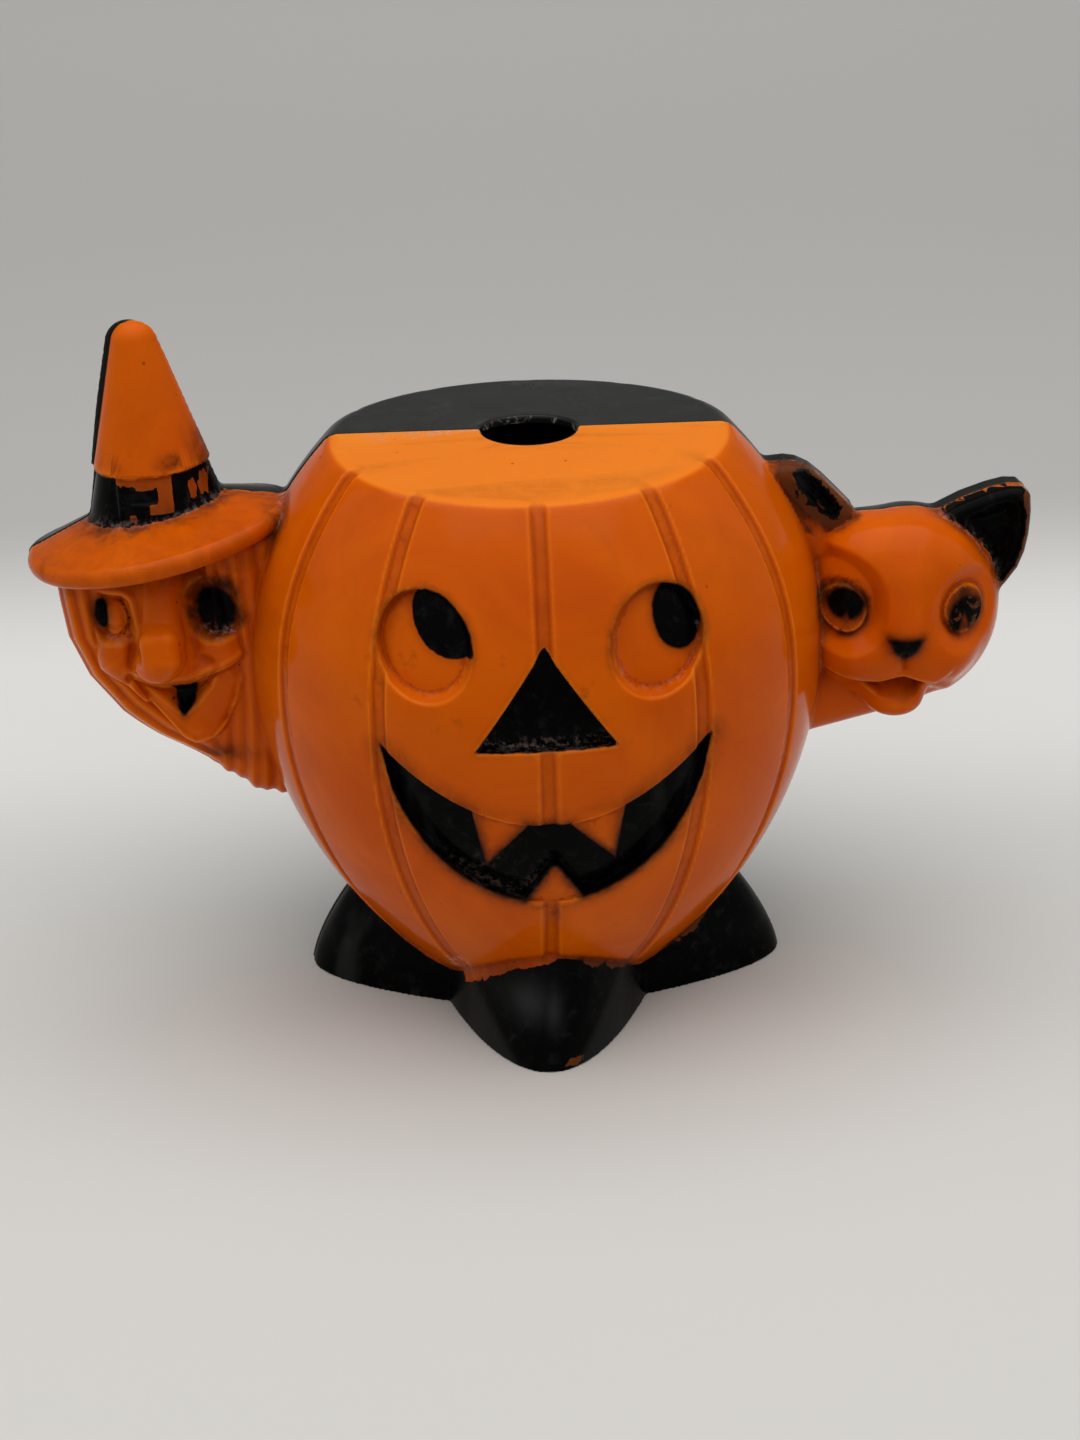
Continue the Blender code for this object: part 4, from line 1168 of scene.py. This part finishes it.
def dirt_and_painted_shade_of(points):
    """Where the front shell is dirty brown or black, and where shade is painted dark in its creases, hollows
    and under the hat's brim.
    """
    p = x, y, z = tuple(points.T)
    side = pumpkin_side(p)
    cone, hx, _, hz = hat(p)
    leaning = brim(p)
    eyes, _, mouth, deep = face_regions(p)
    front = (y < -18) & (np.abs(x) < 34)
    witch_places = [strength * mound(x, z, *spot) for strength, *spot in WITCH_SPRAY_AND_SHADE]
    witch_places += [
        # The witch's right eye socket is darkened: overspray mixed with painted shade in the sunk socket.
        0.95 * smooth_step(1.3, -0.5, boxed(x, z, (-48.1, 67.2), (4.1, 4.6), 2.8, 10)),
        # Painted shadow of the hat's brim on the witch's forehead.
        0.35 * smooth_step(-1.0, 1.5, z - 70.5 - 0.18 * (x + 55)) * (leaning > 0.4) * (hz < -0.5),
        # Painted shade along the step under the witch's upper lip.
        0.7 * ridge(x, z, LIP_LINE[1:4], 0.7),
        0.5 * ridge(x, z, HAIR_LINE, 0.7),
    ]
    left_eye = ellipse(x, z, *CAT_EYES[0])
    right_eye = ellipse(x, z, *CAT_EYES[1])
    cat_places = [
        band(left_eye, 0.15, 0.6),
        0.5 * band(right_eye, 0.15, 0.35),
        smooth_step(0.2, -0.3, left_eye) * smooth_step(60.0, 64.5, z),
        0.5 * smooth_step(0.2, -0.3, left_eye),
        0.9 * smooth_step(0.1, -0.3, right_eye),
        0.5 * mound(x, z, (55.2, 58.6), (3.6, 2.2)),
        # Painted shade in the cat's sunk mouth.
        0.35 * smooth_step(0.2, -0.9, polygon(x, z, CAT_GAPE)),
    ]
    on_cone = (y < -2) * (x < -40)
    right_of_cone = smooth_step(8.0, 10.5, hx + HAT_SLOPE * hz) * smooth_step(16.0, 9.0, hz)
    in_groove = smooth_step(1.25, 0.6, groove_distance(p)) * smooth_step(-0.6, 0.2, mouth)
    places = [
        (x < -40) * (y < -5) * most(*witch_places),
        (x > 40) * (y < -5) * most(*cat_places),
        # Dirt and painted shade where the hat's cone meets the brim.
        0.85 * near_all(1.5, cone, leaning) * (x < -36),
        0.22 * near_all(0.8, leaning) * (x < -36) * (y < 0),
        # Painted shade where the brim meets the pumpkin.
        0.75 * smooth_step(-50.0, -42.0, x) * near_all(3.4, side, leaning, -y - 9.0) * (x < -36),
        mound(hx, hz, (-5.0, 8.7), (1.7, 0.7)) * on_cone,
        mound(hx, hz, (3.9, 9.1), (2.0, 1.0)) * on_cone,
        0.8 * right_of_cone * (cone < 0.5) * (x < -40),
        # Painted shade where the cat's face meets the pumpkin.
        0.5 * near_all(1.0, cat_face(p), side) * (x > 30),
        # Painted shade where the ears meet the cat's face.
        0.9 * near_all(1.4, ears(p), cat_face(p)) * (x > 58),
        0.8 * near_all(1.5, ears(p)) * (x > 34) * (x < 50) * (z > 73) * (side > 0.2),
        0.6 * near_all(0.4, ears(p)) * (x > 60) * (cat_face(p) > 0.6),
        # Painted shade in the pumpkin's grooves.
        0.2 * in_groove * near_all(1.0, side) * (z > 9),
        # Painted shade along the upper rims of the pumpkin's eyes.
        0.55 * band(np.abs(eyes), 0.1, 0.5) * smooth_step(64.0, 70.0, z) * front,
        0.5 * near_all(0.9, -deep - 0.2) * smooth_step(3.5, 0.0, deep) * front,
        0.7 * mound(x, z, (1.2, 26.5), (0.9, 3.6)) * (y < -20),
        # Painted shade in the crease where the feet meet the pumpkin.
        0.6 * near_all(0.7, side, feet(p)) * (z < 26),
        0.5 * near_all(1.6, feet(p)) * (side > 0.3) * (side < 2.6) * (z < 24),
        0.8 * near_all(0.5, np.abs(y) - 0.3) * between(x, -20.0, -18.0, -14.5, -13.0) * (z > 88),
    ]
    return most(*places)


def grey_rub_and_floor_reflection_of(points):
    """Where the black of the front foot is rubbed grey, with its flanks greyed as a painted reflection of
    the floor.
    """
    x, y, z = points.T
    smudge = most(mound(x, z, (-3.2, 9.8), (3.0, 2.6)), 0.8 * mound(x, z, (0.6, 8.8), (1.3, 2.6)))
    # Painted reflection of the floor on the front foot's flanks.
    aside = np.abs(x + 0.5)
    flank = 0.55 * smooth_step(-0.5, 2.0, aside - 3.5 - 0.8 * z) * smooth_step(14.0, 11.0, np.abs(x))
    return most(smudge, flank) * (y < -15) * (z < 22)


def painted_top_light_of(points):
    """Where the front shell's points lie on the cut top, which is painted lighter as if lit from above."""
    x, y, z = points.T
    flat = smooth_step(TOP_Z - 0.4, TOP_Z - 0.1, z + np.abs(y) * TOP_SLOPE)
    return flat * (np.hypot(x, y) < TOP_R + 2)


def crease_of(points):
    """Where pale crumbs stick to the rear shell, on the wall of its hole."""
    x, y, z = points.T
    return 0.8 * near_all(0.5, np.abs(np.hypot(x, y) - TOP_HOLE_R)) * (z > 87) * (z < 89.3)


FRONT_BOX = ((-80.0, -46.5, -1.0), (79.0, 0.8, 110.0))
REAR_BOX = ((-80.0, -0.8, -1.0), (79.0, 46.5, 110.0))

front, front_points = shaped("front_half_shell", front_field, FRONT_BOX)
for name, values in zip(("paint", "wear", "spray"), paint_front(front_points)):
    attribute(front, name, values)
for name, mask in (("crumbs", crumbs_of), ("darkening", dirt_and_painted_shade_of), ("greying", grey_rub_and_floor_reflection_of), ("top", painted_top_light_of)):
    attribute(front, name, mask(front_points))
attribute(front, "bend", bend_of(front_field, front_points))
front.data.materials.append(front_material())
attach(front, "root")
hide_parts("front_shell")

rear, rear_points = shaped("rear_half_shell", rear_field, REAR_BOX)
attribute(rear, "crease", crease_of(rear_points))
rear.data.materials.append(rear_material())
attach(rear, "root")
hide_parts("rear_shell")

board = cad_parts["base_disc"]
board.data.materials.clear()
board.data.materials.append(board_material())


# Floor and backdrop
FLOOR_HALF = 3.0
WALL_TOP = 3.0
SWEEP_STEPS = 12
SWEEP_START = 1.15
SWEEP_R = 0.35

# Surround's strength between two heights of the view's direction
WORLD_HEIGHTS = (0.1, 0.8)
WORLD_STRENGTHS = (0.42, 0.85)

# Lamp over the container, in metres and watts
LAMP_PLACE = (0.0, 0.0, 0.9)
LAMP_TARGET = (0.0, -0.02, 0.05)
LAMP_SIZE = (1.1, 1.1)
LAMP_POWER = 4.9

# Camera: place in millimetres from the pumpkin's axis; yaw, pitch and roll in degrees
CAMERA_PLACE = (-2.19, -369.1, 205.0)
CAMERA_ANGLES = (0.378, 23.894, -1.852)
FOCAL_PX = 2550.0
FRAME_H_PX = 1440.0
SENSOR_H = 36.0


def floor_material():
    """Pale matt paper with painted light and shade: lighter just behind the container, darker beyond it, up
    the wall and in front.
    """
    g = Graph("pale_paper_with_painted_light")
    place = g.node("ShaderNodeTexCoord").outputs["Object"]
    split = g.node("ShaderNodeSeparateXYZ", {0: place})
    along = g.math("ADD", split.outputs[1], split.outputs[2])
    colour = g.mix(g.noise(3.0, 2.0), (0.614, 0.609, 0.591, 1), (0.642, 0.637, 0.614, 1))
    # Painted light and shade: a lighter band just behind the container, a darker one beyond it, and a darker
    # wall.
    for value, low, high, tone in (
        (along, 0.03, 0.09, (0.725, 0.72, 0.707, 1)),
        (along, 0.125, 0.23, (0.45, 0.444, 0.433, 1)),
        (along, 0.4, 1.25, (0.66, 0.652, 0.635, 1)),
        (split.outputs[2], 0.11, 0.2, (0.275, 0.275, 0.265, 1)),
    ):
        colour = g.mix(g.step(value, low, high), colour, tone)
    # Painted shade: the floor in front is darkened, which dims what the container reflects there.
    colour = g.mix(g.step(along, -0.24, -0.14), (0.30, 0.295, 0.28, 1), colour)
    g.shade("Base Color", colour)
    g.shade("Roughness", 0.9)
    return g.material


def make_floor():
    """A floor that sweeps up behind the container."""
    rows = [(-FLOOR_HALF, 0.0), (SWEEP_START, 0.0)]
    for i in range(1, SWEEP_STEPS + 1):
        turn = math.pi / 2 * i / SWEEP_STEPS
        rows.append((SWEEP_START + SWEEP_R * math.sin(turn), SWEEP_R * (1 - math.cos(turn))))
    rows.append((SWEEP_START + SWEEP_R, WALL_TOP))
    points = [(x, y, z) for y, z in rows for x in (-FLOOR_HALF, FLOOR_HALF)]
    faces = [(2 * i, 2 * i + 1, 2 * i + 3, 2 * i + 2) for i in range(len(rows) - 1)]
    mesh = bpy.data.meshes.new("floor")
    mesh.from_pydata(points, [], faces)
    mesh.shade_smooth()
    made = bpy.data.objects.new("floor", mesh)
    bpy.context.scene.collection.objects.link(made)
    made.data.materials.append(floor_material())


def add_light(name, place, target, size, power):
    """A soft square lamp that points at a target."""
    lamp = bpy.data.lights.new(name, "AREA")
    lamp.shape = "RECTANGLE"
    lamp.size, lamp.size_y = size
    lamp.energy = power
    made = bpy.data.objects.new(name, lamp)
    made.location = place
    made.rotation_euler = (Vector(target) - Vector(place)).to_track_quat("-Z", "Y").to_euler()
    bpy.context.scene.collection.objects.link(made)


def make_world():
    """An even pale surround."""
    world = bpy.data.worlds.new("surround")
    world.use_nodes = True
    tree = world.node_tree
    ground = tree.nodes["Background"]
    place = tree.nodes.new("ShaderNodeTexCoord")
    split = tree.nodes.new("ShaderNodeSeparateXYZ")
    rise = tree.nodes.new("ShaderNodeMapRange")
    rise.interpolation_type = "SMOOTHSTEP"
    for i, value in enumerate((*WORLD_HEIGHTS, *WORLD_STRENGTHS), 1):
        rise.inputs[i].default_value = value
    tree.links.new(place.outputs["Generated"], split.inputs[0])
    tree.links.new(split.outputs[2], rise.inputs[0])
    tree.links.new(rise.outputs[0], ground.inputs["Strength"])
    ground.inputs["Color"].default_value = (1.0, 0.99, 0.97, 1)
    bpy.context.scene.world = world


def make_camera():
    """The camera at the photograph's place and angle."""
    place = np.array(CAMERA_PLACE) * MM + np.array([AXIS_X, AXIS_Y, 0.0])
    yaw, pitch, roll = (math.radians(a) for a in CAMERA_ANGLES)
    forward = np.array([math.sin(yaw) * math.cos(pitch), math.cos(yaw) * math.cos(pitch), -math.sin(pitch)])
    right = np.array([math.cos(yaw), -math.sin(yaw), 0.0])
    up = np.cross(right, forward)
    across = math.cos(roll) * right + math.sin(roll) * up
    upward = -math.sin(roll) * right + math.cos(roll) * up
    lens = bpy.data.cameras.new("camera")
    lens.sensor_fit = "VERTICAL"
    lens.sensor_height = SENSOR_H
    lens.lens = FOCAL_PX / FRAME_H_PX * SENSOR_H
    lens.clip_start = 0.01
    lens.clip_end = 20.0
    made = bpy.data.objects.new("camera", lens)
    turn = Matrix((across, upward, -forward)).transposed()
    made.matrix_world = Matrix.Translation(Vector(place)) @ turn.to_4x4()
    bpy.context.scene.collection.objects.link(made)
    bpy.context.scene.camera = made


make_floor()
make_world()
make_camera()
add_light("overhead", LAMP_PLACE, LAMP_TARGET, LAMP_SIZE, LAMP_POWER)

bpy.context.scene.view_settings.view_transform = "Standard"
